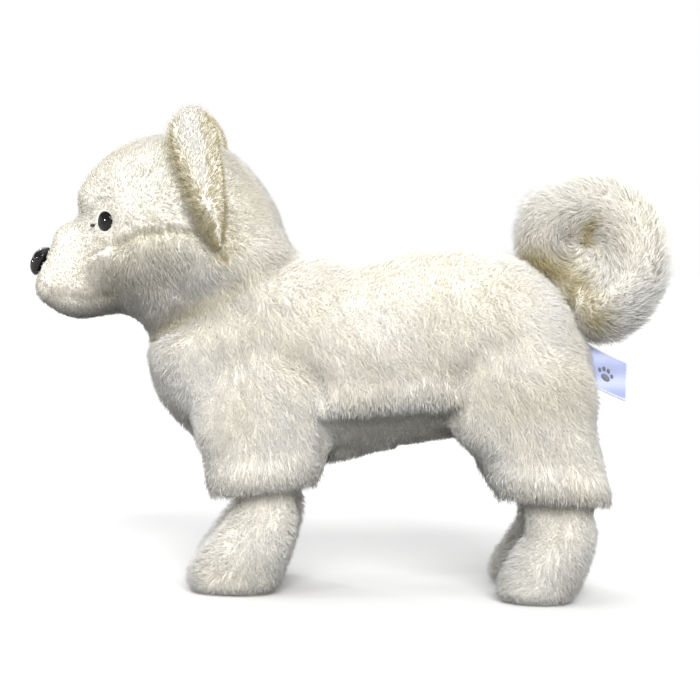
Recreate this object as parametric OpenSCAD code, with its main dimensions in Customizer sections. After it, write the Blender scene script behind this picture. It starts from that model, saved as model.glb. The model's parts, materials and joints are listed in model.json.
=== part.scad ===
// Standing plush dog with a curled tail. Nose towards -X, +Z up, left side at -Y,
// soles on z = 0. Every fur panel is a closed shell with the thickness of cloth and pile.

/* [Fur and filling] */
// Thickness of a fur panel: backing cloth and pile together
panel_t = 5; // [4:0.5:6]
// Room between a panel and the filling behind it
fill_gap = 0.4; // [0.3:0.1:0.8]

/* [Trunk] */
// Half width of the trunk at the shoulders
trunk_half_w = 48; // [46:1:50]

/* [Neck] */
// Radius of the round neck collar that the head turns on
neck_r = 43; // [41:0.5:43.5]
// Backward lean of the neck from upright, in degrees
neck_lean = 31; // [29:1:33]

/* [Head] */
// Half width of the head across the cheeks
head_half_w = 46; // [43:1:48]
// Diameter of a safety eye
eye_d = 12; // [10:0.5:13]
// Diameter of the nose button
nose_d = 16; // [14:0.5:17]

/* [Ears] */
// Thickness of an ear, lining included
ear_t = 8; // [7:0.5:9]

/* [Legs] */
// Distance of a leg's centre plane from the middle of the dog
leg_y = 33; // [32.5:0.5:35]
// Half thickness of a leg sleeve
leg_half_t = 17; // [16:0.5:17]
// Thickness of a sole patch
sole_t = 3; // [2:0.5:3.5]

/* [Tail] */
// Radius of the tail
tail_r = 17; // [15:0.5:17]

/* [Label] */
// Width of the woven label
label_w = 20; // [16:1:22]
// Height of the woven label
label_h = 21; // [16:1:22]

/* [Hidden] */

LEFT = -1;
RIGHT = 1;
cream = "ivory";
warm = "cornsilk";
grey = "gainsboro";

// Points around a ring of the trunk, the head, a leg and the tail or an ear
body_sides = 20;
leg_sides = 16;
tube_sides = 12;
fine = 48;
joint_gap = 0.7;

// The trunk between the legs, and the width of the pockets beside it
keel_half_w = leg_y - leg_half_t - 0.6;
pocket_w = 60;

// ---------------------------------------------------------------- curves and lofts

// Point at t of the smooth curve between entries i and i + 1 of a list
function between(s, i, t) =
    let (a = s[max(i - 1, 0)], b = s[i], c = s[i + 1], d = s[min(i + 2, len(s) - 1)])
    0.5 * (2 * b + (c - a) * t + (2 * a - 5 * b + 4 * c - d) * t * t + (3 * b - a - 3 * c + d) * t * t * t);

// The whole smooth curve through a list, with a number of steps in each span
function smooth(s, steps) = concat(
    [for (i = [0 : len(s) - 2]) for (k = [0 : steps - 1]) between(s, i, k / steps)],
    [s[len(s) - 1]]
);

// Fuller than a circle: a rounded box section
function full(v) = sign(v) * pow(abs(v), 0.88);

// Ring of points in an upright plane. A section is [top x, top z, low x, low z, half width],
// and inset moves it inwards. Point 0 is at the top, and the points run towards +Y.
function upright_ring(s, inset, sides) =
    let (
        top = [s[0], 0, s[1]],
        low = [s[2], 0, s[3]],
        tall = norm(top - low) / 2,
        up = (top - low) / (2 * tall),
        a = max(tall - inset, 1),
        b = max(s[4] - inset, 1)
    )
    [for (k = [0 : sides - 1]) let (g = 360 * k / sides)
        (top + low) / 2 + up * a * full(cos(g)) + [0, b * full(sin(g)), 0]];

// Level ring of a leg. A section is [z, front x, rear x, half thickness]. Point 0 is at the
// rear, and the points run towards +Y.
function level_ring(s, inset, sides, y) =
    let (a = max((s[2] - s[1]) / 2 - inset, 1), b = max(s[3] - inset, 1))
    [for (k = [0 : sides - 1]) let (g = 360 * k / sides)
        [(s[1] + s[2]) / 2 + a * full(cos(g)), y + b * full(sin(g)), s[0]]];

// Faces between two neighbouring rows of a grid of points
function strip(first, second, from, to, wrap) =
    [for (k = [from : to - 1]) let (n = (k + 1) % wrap) each [
        [first + k % wrap, second + k % wrap, second + n],
        [first + k % wrap, second + n, first + n]
    ]];

// Solid through a list of rings, closed at both ends
module loft(rings) {
    n = len(rings[0]);
    m = len(rings);
    polyhedron(
        points = [for (r = rings) each r],
        faces = concat(
            [for (i = [0 : m - 2]) each strip(i * n, (i + 1) * n, 0, n, n)],
            [[for (k = [0 : n - 1]) k], [for (k = [n - 1 : -1 : 0]) (m - 1) * n + k]]
        )
    );
}

// Shell between an outer and an inner list of rings, all the way round
module tube(outer, inner) {
    n = len(outer[0]);
    m = len(outer);
    base = n * m;
    polyhedron(
        points = concat([for (r = outer) each r], [for (r = inner) each r]),
        faces = concat(
            [for (i = [0 : m - 2]) each strip(i * n, (i + 1) * n, 0, n, n)],
            [for (i = [0 : m - 2]) each strip(base + (i + 1) * n, base + i * n, 0, n, n)],
            strip(base, 0, 0, n, n),
            strip((m - 1) * n, base + (m - 1) * n, 0, n, n)
        )
    );
}

// Patch of such a shell, from point "from" to point "to" of each ring
module patch(outer, inner, from, to) {
    n = len(outer[0]);
    w = to - from + 1;
    m = len(outer);
    base = w * m;
    last = base + (m - 1) * w;
    function cut(r) = [for (k = [from : to]) r[(k + n) % n]];
    polyhedron(
        points = concat([for (r = outer) each cut(r)], [for (r = inner) each cut(r)]),
        faces = concat(
            [for (i = [0 : m - 2]) each strip(i * w, (i + 1) * w, 0, w - 1, w)],
            [for (i = [0 : m - 2]) each strip(base + (i + 1) * w, base + i * w, 0, w - 1, w)],
            strip(base, 0, 0, w - 1, w),
            strip((m - 1) * w, last, 0, w - 1, w),
            [for (i = [0 : m - 2]) each [
                [i * w, base + i * w, base + (i + 1) * w],
                [i * w, base + (i + 1) * w, (i + 1) * w]
            ]],
            [for (i = [0 : m - 2]) let (e = w - 1) each [
                [i * w + e, base + (i + 1) * w + e, base + i * w + e],
                [i * w + e, (i + 1) * w + e, base + (i + 1) * w + e]
            ]]
        )
    );
}

// ---------------------------------------------------------------- sections

// Trunk from the chest to the rump
trunk_sections = [
    [-106, 136, -106, 120, 9],
    [-101, 150, -103, 107, 24],
    [-90, 168, -91, 92, 37],
    [-68, 185, -68, 77, 45],
    [-36, 190, -38, 72, trunk_half_w],
    [-2, 181, -2, 76, trunk_half_w - 2],
    [34, 190, 34, 83, trunk_half_w - 3],
    [68, 195, 68, 89, trunk_half_w - 1],
    [98, 188, 97, 86, trunk_half_w],
    [122, 168, 119, 88, 41],
    [134, 145, 133, 97, 28],
    [139, 126, 138, 110, 10]
];

// Head from the nose to the nape
head_sections = [
    [-175, 181, -175.5, 171, 7],
    [-170, 188, -172, 162, 13],
    [-161, 196, -163, 153.5, 18.5],
    [-152, 203, -152, 150, 21.5],
    [-149, 214, -141, 151, 23],
    [-145, 228, -130, 153, 30],
    [-131, 242, -117, 150, 41],
    [-108, 251, -104, 144, head_half_w],
    [-84, 250, -86, 138, head_half_w],
    [-63, 239, -70, 136, head_half_w - 1],
    [-47, 220, -56, 140, head_half_w - 3],
    [-36, 203, -44, 148, head_half_w - 6],
    [-30, 190, -34, 166, 26]
];

neck_centre = [-68, 0, 167];

// Leg hubs: round upper ends that turn in round pockets of the trunk
front_hub = [-44, 100];
front_hub_r = 40;
hind_hub = [98, 108];
hind_hub_r = 42;

// Round top of a leg as level sections, down to an angle past its widest point
function hub_sections(hub, r, last) =
    [for (a = [14 : (last - 14) / 6 : last])
        let (half_t = leg_half_t * (0.55 + 0.45 * sin(min(a, 90))))
        [hub[1] + r * cos(a), hub[0] - r * sin(a), hub[0] + r * sin(a), half_t]];

front_sleeve_sections = concat(hub_sections(front_hub, front_hub_r, 112), [
    [74, -75, -13, leg_half_t],
    [64, -72, -17, leg_half_t],
    [57, -70.5, -19, leg_half_t - 1]
]);
hind_sleeve_sections = concat(hub_sections(hind_hub, hind_hub_r, 98), [
    [90, 62, 142.5, leg_half_t],
    [76, 78, 146, leg_half_t],
    [64, 87, 148, leg_half_t],
    [57, 90, 148.5, leg_half_t - 1]
]);

// Lower legs, from inside the sleeve down to the floor
front_paw_sections = [
    [56.6, -60, -22.5, 13],
    [48, -61, -22.5, 13.5],
    [38, -66, -23, 15],
    [27, -74, -26, 17],
    [16, -81, -30, 18],
    [6, -82, -34, 17.5],
    [1.5, -79, -37, 15.5]
];
hind_paw_sections = [
    [56.6, 98, 144, 13],
    [48, 101.5, 143.5, 13.5],
    [38, 105.5, 142.5, 15],
    [27, 99, 140.5, 17],
    [16, 93, 137, 18],
    [6, 90, 132, 17.5],
    [1.5, 92.5, 129, 15.5]
];

// Ear from its lower tip to its upper tip: [z, x, half width, y]
ear_sections = [
    [190, -70.5, 2.5, 48],
    [200, -73, 6, 49.5],
    [214, -76.5, 10, 49.4],
    [230, -81, 13, 43.4],
    [246, -85.5, 14.5, 36.5],
    [258, -87.5, 13, 32],
    [268, -89, 5, 30]
];

// Tail: a coil, a wider turn down its near side, and a tight turn that tucks the tip into
// the middle. Each arc is a list of points round a centre.
coil_centre = [136.5, 191];
coil_r = 26.5;
side_centre = [123.8, 201.2];
side_r = 15;
tuck_centre = [120.3, 198.3];
tuck_r = 10.5;
root_angle = -112;
function arc(centre, r, angles) = [for (a = angles) [centre[0] + r * cos(a), centre[1] + r * sin(a)]];
tail_route = concat(
    arc(coil_centre, coil_r, [root_angle : 16 : 96]),
    arc(side_centre, side_r, [120 : 25 : 220]),
    arc(tuck_centre, tuck_r, [245, 270, 300, 330])
);
tail_last = len(tail_route) - 1;
tail_root = tail_route[0];

// Radius at each point of the route, as a share of the whole: narrow where it is sewn on,
// and tapering to a blunt tip
tail_shares = [
    0.73, 0.82, 0.9, 0.96, 1, 1, 1, 1, 1, 1, 1, 0.98, 0.96, 0.91,
    0.82, 0.79, 0.76, 0.72, 0.65,
    0.57, 0.51, 0.42, 0.27
];
function tail_radius(i) = tail_r * tail_shares[i];

function tail_ring(i, inset) =
    let (
        a = tail_route[max(i - 1, 0)],
        b = tail_route[min(i + 1, tail_last)],
        way = (b - a) / norm(b - a),
        side = [-way[1], way[0]],
        r = max(tail_radius(i) - inset, 1)
    )
    [for (k = [0 : tube_sides - 1]) let (g = 360 * k / tube_sides)
        [tail_route[i][0] + side[0] * r * cos(g), -r * sin(g), tail_route[i][1] + side[1] * r * cos(g)]];

// ---------------------------------------------------------------- ring lists

function trunk_rings(inset) = [for (s = smooth(trunk_sections, 2)) upright_ring(s, inset, body_sides)];
function head_rings(inset) = [for (s = smooth(head_sections, 2)) upright_ring(s, inset, body_sides)];
function leg_ring(section, side, inset) = level_ring(section, inset, leg_sides, side * leg_y);
function leg_rings(sections, side, inset) = [for (s = sections) leg_ring(s, side, inset)];
function tail_rings(inset) = [for (i = [0 : tail_last]) tail_ring(i, inset)];

// Half of an ear from its middle plane to one face: far is 1 for the outer face, -1 for the inner
function ear_rings(side, far) =
    [for (s = smooth(ear_sections, 2)) let (half_t = ear_t / 2 * min(1, s[2] / 9))
        [for (k = [0 : tube_sides / 2]) let (g = 180 * (side * far > 0 ? k / 6 : 1 - k / 6))
            [s[1] + s[2] * cos(g), side * (s[3] + far * half_t * sin(g)), s[0]]]];

// ---------------------------------------------------------------- clearances

// Space that the neck collar and the moving head need, cut out of the trunk
module neck_room() {
    translate(neck_centre) rotate([0, -neck_lean, 0]) {
        sphere(r = neck_r + joint_gap, $fn = fine);
        rotate_extrude($fn = fine)
            polygon([[0, -10], [neck_r - 3, -10], [110, -110 * tan(13)], [110, 130], [0, 130]]);
    }
}

// Space that the neck and the trunk need, cut out of the head
module head_room() {
    translate(neck_centre) rotate([0, -neck_lean, 0]) {
        sphere(r = neck_r + joint_gap, $fn = fine);
        rotate_extrude($fn = fine)
            polygon([[0, 1], [neck_r - 3, 1.5], [110, 110 * tan(2)], [110, -110], [0, -110]]);
    }
}

// Round pockets on both sides of the trunk, with the keel left between them
module hub_pocket(hub, r) {
    for (side = [LEFT, RIGHT])
        translate([hub[0], side * (keel_half_w + pocket_w / 2), hub[1]])
            rotate([90, 0, 0])
                cylinder(r = r + joint_gap, h = pocket_w, center = true, $fn = 2 * fine);
}

// Notch in the rump for the tail and its wag
module tail_room() {
    root_room = tail_radius(0) + joint_gap + 2;
    translate([tail_root[0], 0, tail_root[1] - root_room])
        cylinder(r = root_room, h = 60, $fn = fine);
    translate([tail_root[0], -24, 146]) cube([40, 48, 40]);
}

// ---------------------------------------------------------------- face fittings

eye_place = [-134.5, 32.4, 203.5];
eye_turn = 50;
nose_place = [-172.2, 0, 178.5];
nose_tilt = 20;
shank_r = 2;
washer_t = 1.5;

// Puts its children on an eye, facing out along +Z
module at_eye(side) {
    translate([eye_place[0], side * eye_place[1], eye_place[2]])
        rotate([0, 0, 180 - side * eye_turn])
            rotate([0, 85, 0])
                children();
}

// Puts its children on the nose, facing out along +Z
module at_nose() {
    translate(nose_place) rotate([0, nose_tilt - 90, 0]) children();
}

// Domed button with a flange and a shank, turned about +Z
module button(r, dome, shank) {
    rotate_extrude($fn = fine)
        polygon(concat(
            [[0, -shank], [shank_r, -shank], [shank_r, -1.5], [r, -1.5]],
            [for (a = [0 : 10 : 80]) [r * cos(a), dome * sin(a)]],
            [[0, dome]]
        ));
}

// Lock washer on a shank
module washer(r, depth) {
    translate([0, 0, -depth - washer_t]) difference() {
        cylinder(r = r, h = washer_t, $fn = fine);
        translate([0, 0, -1]) cylinder(r = shank_r + 0.05, h = washer_t + 2, $fn = fine);
    }
}

// Room for a button, its shank and its washer in the cloth and the filling
module button_room(r, washer_r, depth, shank) {
    translate([0, 0, -1.6]) cylinder(r = r + 0.3, h = 12, $fn = fine);
    translate([0, 0, -shank - 0.5]) cylinder(r = shank_r + 0.2, h = shank, $fn = fine);
    translate([0, 0, -shank - 0.5]) cylinder(r = washer_r + 0.3, h = shank - depth + 0.8, $fn = fine);
}

eye_washer_r = 6.5;
eye_washer_depth = 7;
eye_shank = 10;
nose_washer_r = 5;
nose_washer_depth = 7;
nose_shank = 10;

module face_rooms() {
    for (side = [LEFT, RIGHT])
        at_eye(side) button_room(eye_d / 2, eye_washer_r, eye_washer_depth, eye_shank);
    at_nose() button_room(nose_d / 2, nose_washer_r, nose_washer_depth, nose_shank);
}

module eye(side) {
    color("black") at_eye(side) button(eye_d / 2, 4, eye_shank);
}

module eye_washer(side) {
    color("whitesmoke") at_eye(side) washer(eye_washer_r, eye_washer_depth);
}

module nose_button() {
    color("black") at_nose() button(nose_d / 2, 5, nose_shank);
}

module nose_washer() {
    color("whitesmoke") at_nose() washer(nose_washer_r, nose_washer_depth);
}

// Embroidered marks: two at the mouth on each side, one at the inner corner of each eye
stitch_r = 0.8;
stitch_marks = [
    [-169.5, 12.4, 165.5, 3.2],
    [-166.8, 11.2, 159.5, 2.6],
    [-141.4, 27.2, 200.6, 4]
];
module stitch_shapes(grow) {
    for (side = [LEFT, RIGHT], s = stitch_marks)
        translate([s[0], side * s[1], s[2]])
            rotate([0, 0, 90 - side * 60 + (side == LEFT ? 0 : 180)])
                rotate([90, 0, 0])
                    cylinder(r = stitch_r + grow, h = s[3] + 2 * grow, center = true, $fn = 16);
}

module face_stitches() {
    color("dimgray") stitch_shapes(0);
}

// ---------------------------------------------------------------- head

// Ring points where the head panels meet: top strip, side and chin
gusset_edge = 2;
chin_edge = 8;

module head_patch(from, to) {
    difference() {
        patch(head_rings(0), head_rings(panel_t), from, to);
        head_room();
        face_rooms();
        stitch_shapes(0.1);
    }
}

// The filling stops short of the nose, where the panels meet, and ends in a dish over the neck
filling_start = 4;
dish_height = 24;
module head_filling() {
    rings = head_rings(panel_t + fill_gap);
    color("white") difference() {
        loft([for (i = [filling_start : len(rings) - 1]) rings[i]]);
        translate(neck_centre) rotate([0, -neck_lean, 0]) {
            sphere(r = neck_r + joint_gap, $fn = fine);
            translate([0, 0, dish_height - 150]) cylinder(r = 150, h = 150, $fn = fine);
        }
        face_rooms();
    }
}

module cheek_panel(side) {
    color(warm)
        if (side == RIGHT) head_patch(gusset_edge, chin_edge);
        else head_patch(body_sides - chin_edge, body_sides - gusset_edge);
}

module head_gusset() {
    color(cream) head_patch(-gusset_edge, gusset_edge);
}

module chin_panel() {
    color(grey) head_patch(chin_edge, body_sides - chin_edge);
}

module ear_half(side, far) {
    loft(ear_rings(side, far));
}

module ear_fur(side) {
    color(cream) ear_half(side, 1);
}

module ear_lining(side) {
    color("burlywood") ear_half(side, -1);
}

// ---------------------------------------------------------------- neck

collar_t = 4.5;
module neck_slab(top, low, r) {
    translate(neck_centre) rotate([0, -neck_lean, 0])
        intersection() {
            sphere(r = r, $fn = fine);
            translate([0, 0, low]) cylinder(r = 60, h = top - low, $fn = fine);
        }
}

module neck_filling() {
    color("white") neck_slab(30, -28, neck_r - collar_t - fill_gap);
}

module neck_collar() {
    color(warm) difference() {
        neck_slab(12, -18, neck_r);
        translate(neck_centre) sphere(r = neck_r - collar_t, $fn = fine);
    }
}

// ---------------------------------------------------------------- trunk

belly_edge = 7;

module trunk_rooms() {
    neck_room();
    hub_pocket(front_hub, front_hub_r);
    hub_pocket(hind_hub, hind_hub_r);
    tail_room();
    label_shape(0.15);
}

module trunk_patch(from, to) {
    difference() {
        patch(trunk_rings(0), trunk_rings(panel_t), from, to);
        trunk_rooms();
    }
}

module torso_filling() {
    color("white") difference() {
        loft(trunk_rings(panel_t + fill_gap));
        trunk_rooms();
    }
}

module side_panel(side) {
    color(cream)
        if (side == RIGHT) trunk_patch(0, belly_edge);
        else trunk_patch(body_sides - belly_edge, body_sides);
}

module belly_panel() {
    color(grey) difference() {
        trunk_patch(belly_edge, body_sides - belly_edge);
        closing_shapes(0.1);
    }
}

// Ladder stitches that close the belly seam after filling
stitch_count = 7;
stitch_pitch = 6;
module closing_shapes(grow) {
    for (i = [0 : stitch_count - 1])
        translate([8 + stitch_pitch * i, 0, 81.2 + 0.95 * i])
            rotate([90, 0, 0])
                cylinder(r = 0.6 + grow, h = 6 + 2 * grow, center = true, $fn = 16);
}

module closing_stitches() {
    color("white") closing_shapes(0);
}

// Woven tag in the middle seam of the rump: its corner in the seam, and its droop to the rear
label_t = 0.8;
label_corner = [134, 143.4];
label_droop = 0.43;
module label_shape(grow) {
    reach = label_w + 6;
    translate([label_corner[0], 0, label_corner[1]])
        rotate([90, 0, 0])
            linear_extrude(height = label_t + 2 * grow, center = true)
                polygon([
                    [-grow, grow],
                    [reach, -label_droop * reach + grow],
                    [reach, -label_droop * reach - label_h - grow],
                    [-grow, -label_h - grow]
                ]);
}

module woven_label() {
    color("lavender") label_shape(0);
}

// ---------------------------------------------------------------- legs

// Level sections from the hub down to the hem, and the lower leg
module sleeve(sections, side, outer) {
    rings = leg_rings(sections, side, 0);
    lining = leg_rings(sections, side, panel_t);
    half = leg_sides / 2;
    color(outer ? cream : grey)
        if ((side == RIGHT) == outer) patch(rings, lining, 0, half);
        else patch(rings, lining, half, leg_sides);
}

module paw_cover(sections, side) {
    color(warm) tube(leg_rings(sections, side, 0), leg_rings(sections, side, panel_t - 1));
}

// Filling of a whole leg, from the hub down to the sole patch
module filled_leg(sleeve_sections, paw_sections, side) {
    hem = len(sleeve_sections) - 1;
    foot = len(paw_sections) - 1;
    rest_on = paw_sections[foot] + (paw_sections[foot - 1] - paw_sections[foot]) * 0.4;
    color("white") loft(concat(
        [for (i = [0 : hem - 1]) leg_ring(sleeve_sections[i], side, panel_t + fill_gap)],
        [for (i = [0 : foot - 1]) leg_ring(paw_sections[i], side, panel_t - 1 + fill_gap)],
        [leg_ring([sole_t + fill_gap, rest_on[1], rest_on[2], rest_on[3]], side, panel_t - 1 + fill_gap)]
    ));
}

// Flat sole patch inside the rim of the paw cover
module sole(paw_sections, side) {
    outline = leg_ring(paw_sections[len(paw_sections) - 1], side, panel_t - 1 + fill_gap);
    color("linen") linear_extrude(height = sole_t) polygon([for (p = outline) [p[0], p[1]]]);
}

// ---------------------------------------------------------------- tail

module tail_filling() {
    color("white") loft(tail_rings(panel_t + 2 * fill_gap));
}

module tail_panel(side) {
    color(cream)
        if (side == LEFT) patch(tail_rings(0), tail_rings(panel_t), 0, tube_sides / 2);
        else patch(tail_rings(0), tail_rings(panel_t), tube_sides / 2, tube_sides);
}

// ---------------------------------------------------------------- output

torso_filling();
side_panel(LEFT);  // side_panel_left
side_panel(RIGHT);  // side_panel_right
belly_panel();
closing_stitches();
woven_label();
neck_filling();
neck_collar();
head_filling();
cheek_panel(LEFT);  // cheek_panel_left
cheek_panel(RIGHT);  // cheek_panel_right
head_gusset();
chin_panel();
eye(LEFT);  // eye_left
eye(RIGHT);  // eye_right
eye_washer(LEFT);  // eye_washer_left
eye_washer(RIGHT);  // eye_washer_right
nose_button();
nose_washer();
face_stitches();
ear_fur(LEFT);  // ear_fur_left
ear_fur(RIGHT);  // ear_fur_right
ear_lining(LEFT);  // ear_lining_left
ear_lining(RIGHT);  // ear_lining_right
sleeve(front_sleeve_sections, LEFT, true);  // front_sleeve_outer_left
sleeve(front_sleeve_sections, LEFT, false);  // front_sleeve_inner_left
paw_cover(front_paw_sections, LEFT);  // front_paw_left
sole(front_paw_sections, LEFT);  // front_sole_left
filled_leg(front_sleeve_sections, front_paw_sections, LEFT);  // front_filling_left
sleeve(front_sleeve_sections, RIGHT, true);  // front_sleeve_outer_right
sleeve(front_sleeve_sections, RIGHT, false);  // front_sleeve_inner_right
paw_cover(front_paw_sections, RIGHT);  // front_paw_right
sole(front_paw_sections, RIGHT);  // front_sole_right
filled_leg(front_sleeve_sections, front_paw_sections, RIGHT);  // front_filling_right
sleeve(hind_sleeve_sections, LEFT, true);  // hind_sleeve_outer_left
sleeve(hind_sleeve_sections, LEFT, false);  // hind_sleeve_inner_left
paw_cover(hind_paw_sections, LEFT);  // hind_paw_left
sole(hind_paw_sections, LEFT);  // hind_sole_left
filled_leg(hind_sleeve_sections, hind_paw_sections, LEFT);  // hind_filling_left
sleeve(hind_sleeve_sections, RIGHT, true);  // hind_sleeve_outer_right
sleeve(hind_sleeve_sections, RIGHT, false);  // hind_sleeve_inner_right
paw_cover(hind_paw_sections, RIGHT);  // hind_paw_right
sole(hind_paw_sections, RIGHT);  // hind_sole_right
filled_leg(hind_sleeve_sections, hind_paw_sections, RIGHT);  // hind_filling_right
tail_filling();
tail_panel(LEFT);  // tail_panel_left
tail_panel(RIGHT);  // tail_panel_right
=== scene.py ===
"""Looks of the standing plush dog: soft skins, real fur strands, face fittings, tag, floor, light, camera."""
import json
import math

import bmesh
import bpy
import numpy as np
from mathutils import Matrix, Vector
from mathutils.kdtree import KDTree


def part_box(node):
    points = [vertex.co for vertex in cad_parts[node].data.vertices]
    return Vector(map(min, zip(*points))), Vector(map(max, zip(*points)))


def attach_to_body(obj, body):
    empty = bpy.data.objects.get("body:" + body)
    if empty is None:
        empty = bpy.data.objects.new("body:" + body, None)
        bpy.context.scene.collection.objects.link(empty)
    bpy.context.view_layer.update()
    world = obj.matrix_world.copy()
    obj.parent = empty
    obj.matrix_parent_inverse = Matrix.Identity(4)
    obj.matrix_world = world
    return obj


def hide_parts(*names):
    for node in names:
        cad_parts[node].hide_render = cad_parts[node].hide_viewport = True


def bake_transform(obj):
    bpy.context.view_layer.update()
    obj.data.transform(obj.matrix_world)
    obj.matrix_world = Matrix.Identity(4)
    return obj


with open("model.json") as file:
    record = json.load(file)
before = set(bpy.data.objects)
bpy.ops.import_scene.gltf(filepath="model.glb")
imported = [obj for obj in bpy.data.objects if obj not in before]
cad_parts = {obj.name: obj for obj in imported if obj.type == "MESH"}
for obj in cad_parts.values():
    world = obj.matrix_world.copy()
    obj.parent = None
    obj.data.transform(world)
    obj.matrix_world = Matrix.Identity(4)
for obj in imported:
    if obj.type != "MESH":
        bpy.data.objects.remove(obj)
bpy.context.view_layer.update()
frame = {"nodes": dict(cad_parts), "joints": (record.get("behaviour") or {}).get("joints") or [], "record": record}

MM = 0.001
SIDES = {"left": -1.0, "right": 1.0}
BODY_NODES = frame["record"]["behaviour"]["bodies"]
JOINTS = {joint["name"]: joint for joint in frame["joints"]}
rng = np.random.default_rng(11)

# Voxel sizes of the skins, in metres
BODY_VOXEL = 0.0032
TAIL_VOXEL, EAR_VOXEL, SOLE_VOXEL = 0.0025, 0.0016, 0.0009
# How tightly each kind of piece is filled
BODY_FILL, EAR_FILL, SOLE_FILL = 0.8, 0.4, 0.3
# Share of a strand below its bend, and its width there against that at the root
BEND_AT, BEND_WIDTH = 0.45, 0.85
# Lowest heights above the floor of the skin and of a strand's root, bend and tip
SKIN_LOWEST, ROOT_LOWEST, BEND_LOWEST, TIP_LOWEST = 0.0006, 0.0022, 0.0008, 0.0004
# Cloth behind the leg seams: how far past the sleeve and the keel it reaches, and how deep it lies
SEAM_CLOTH_REACH, SEAM_CLOTH_SPREAD, SEAM_CLOTH_DEPTH = 0.016, 0.010, 0.0018


# ---- small helpers

def unit(v):
    """Rows of v at length 1."""
    return v / np.maximum(np.linalg.norm(v, axis=-1, keepdims=True), 1e-12)


def ramp(x, low, high):
    """0 below low, 1 above high, smooth between."""
    t = np.clip((x - low) / (high - low), 0.0, 1.0)
    return t * t * (3.0 - 2.0 * t)


def fall(x, low, high):
    """1 below low, 0 above high, smooth between."""
    return ramp(-x, -high, -low)


def mix(a, b, t):
    return a + (b - a) * t


def hump(x, width):
    """1 where x is 0, falling smoothly to about 0 at twice the width."""
    return np.exp(-(x / width) ** 2)


def lengths(v):
    return np.linalg.norm(v, axis=1)


def waves(p, size, seed, count=5):
    """Smooth noise from about -1 to 1 at points p: sines of about the given wavelength, crossed at random."""
    draw = np.random.default_rng(seed)
    total = np.zeros(len(p))
    for _ in range(count):
        way = unit(draw.normal(size=3)) * (2 * math.pi / size) * draw.uniform(0.7, 1.5)
        total += np.sin(p @ way + draw.uniform(0, 2 * math.pi))
    return total / math.sqrt(count)


def joint_place(name):
    return np.array(JOINTS[name]["pos_m"]), unit(np.array(JOINTS[name]["axis"], float))


def node_box(*nodes):
    lows, highs = zip(*[[np.array(c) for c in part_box(n)] for n in nodes])
    return np.min(lows, axis=0), np.max(highs, axis=0)


def link(name, data, material=None):
    """A new object of a mesh, a light or a camera."""
    obj = bpy.data.objects.new(name, data)
    bpy.context.scene.collection.objects.link(obj)
    if material is not None:
        data.materials.append(material)
    return obj


def aimed(obj, way):
    """Turns a lamp to shine along way."""
    obj.rotation_euler = way.to_track_quat("-Z", "Y").to_euler()


def settle(piece, body, stands_for=(), fill=None):
    """Attaches a piece to the body it rides on and hides the CAD nodes it stands for; fill, how tightly it is
    filled, is not used.
    """
    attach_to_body(piece, body)
    if stands_for:
        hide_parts(*stands_for)


def mesh_from(name, points, faces):
    """Smooth mesh from an array of points and an array of faces with the same number of corners."""
    mesh = bpy.data.meshes.new(name)
    faces = np.asarray(faces, np.int32)
    mesh.vertices.add(len(points))
    mesh.vertices.foreach_set("co", np.ascontiguousarray(points, np.float32).ravel())
    mesh.loops.add(faces.size)
    mesh.loops.foreach_set("vertex_index", faces.ravel())
    mesh.polygons.add(len(faces))
    mesh.polygons.foreach_set("loop_start", np.arange(0, faces.size, faces.shape[1], dtype=np.int32))
    mesh.update(calc_edges=True)
    smoothed(mesh)
    return mesh


def smoothed(mesh):
    mesh.polygons.foreach_set("use_smooth", np.full(len(mesh.polygons), True))
    return mesh


def mesh_of(bm, name, outward=True):
    """The finished mesh of bm, with its faces turned outward and smooth unless told otherwise."""
    if outward:
        bmesh.ops.recalc_face_normals(bm, faces=bm.faces)
    mesh = bpy.data.meshes.new(name)
    bm.to_mesh(mesh)
    bm.free()
    return smoothed(mesh) if outward else mesh


def turned_outward(mesh):
    bm = bmesh.new()
    bm.from_mesh(mesh)
    bmesh.ops.recalc_face_normals(bm, faces=bm.faces)
    bm.to_mesh(mesh)
    bm.free()


def read(items, name, width=3, kind=float):
    """An attribute of every item, as an array with one row each."""
    values = np.empty(len(items) * width, kind)
    items.foreach_get(name, values)
    return values.reshape(-1, width)


def points_of(mesh):
    return read(mesh.vertices, "co")


def normals_of(mesh):
    return read(mesh.vertices, "normal")


def set_points(mesh, points):
    mesh.vertices.foreach_set("co", np.ascontiguousarray(points, np.float32).ravel())
    mesh.update()


def applied(obj):
    """Applies every modifier of obj to its mesh."""
    bpy.context.view_layer.update()
    result = bpy.data.meshes.new_from_object(obj.evaluated_get(bpy.context.evaluated_depsgraph_get()))
    obj.modifiers.clear()
    old, obj.data = obj.data, result
    bpy.data.meshes.remove(old)
    return obj


def relaxed(mesh, rounds, strength=0.5, push_back=0.96, where=1.0):
    """Evens out a mesh: each point moves towards its neighbours' mean, with a push back against shrinking."""
    a, b = edges = read(mesh.edges, "vertices", 2, np.int64).T
    points = points_of(mesh)
    count = np.bincount(edges.ravel(), minlength=len(points))[:, None]
    for i in range(rounds * 2):
        total = np.empty_like(points)
        for k in range(3):
            column = points[:, k]
            total[:, k] = np.bincount(a, column[b], len(points)) + np.bincount(b, column[a], len(points))
        points += (total / count - points) * (strength if i % 2 == 0 else -strength * push_back) * where
    set_points(mesh, points)


def union_skin(name, nodes, voxel, extra=()):
    """One closed skin round the CAD solids of some nodes, and round any extra closed meshes."""
    points, faces, start = [], [], 0
    for data in [frame["nodes"][node].data for node in nodes] + list(extra):
        points += [tuple(v.co) for v in data.vertices]
        faces += [[i + start for i in p.vertices] for p in data.polygons]
        start += len(data.vertices)
    mesh = bpy.data.meshes.new(name)
    mesh.from_pydata(points, [], faces)
    obj = link(name, mesh)
    remesh = obj.modifiers.new("skin", "REMESH")
    remesh.mode = "VOXEL"
    remesh.voxel_size = voxel
    return applied(obj)


# ---- materials

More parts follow.
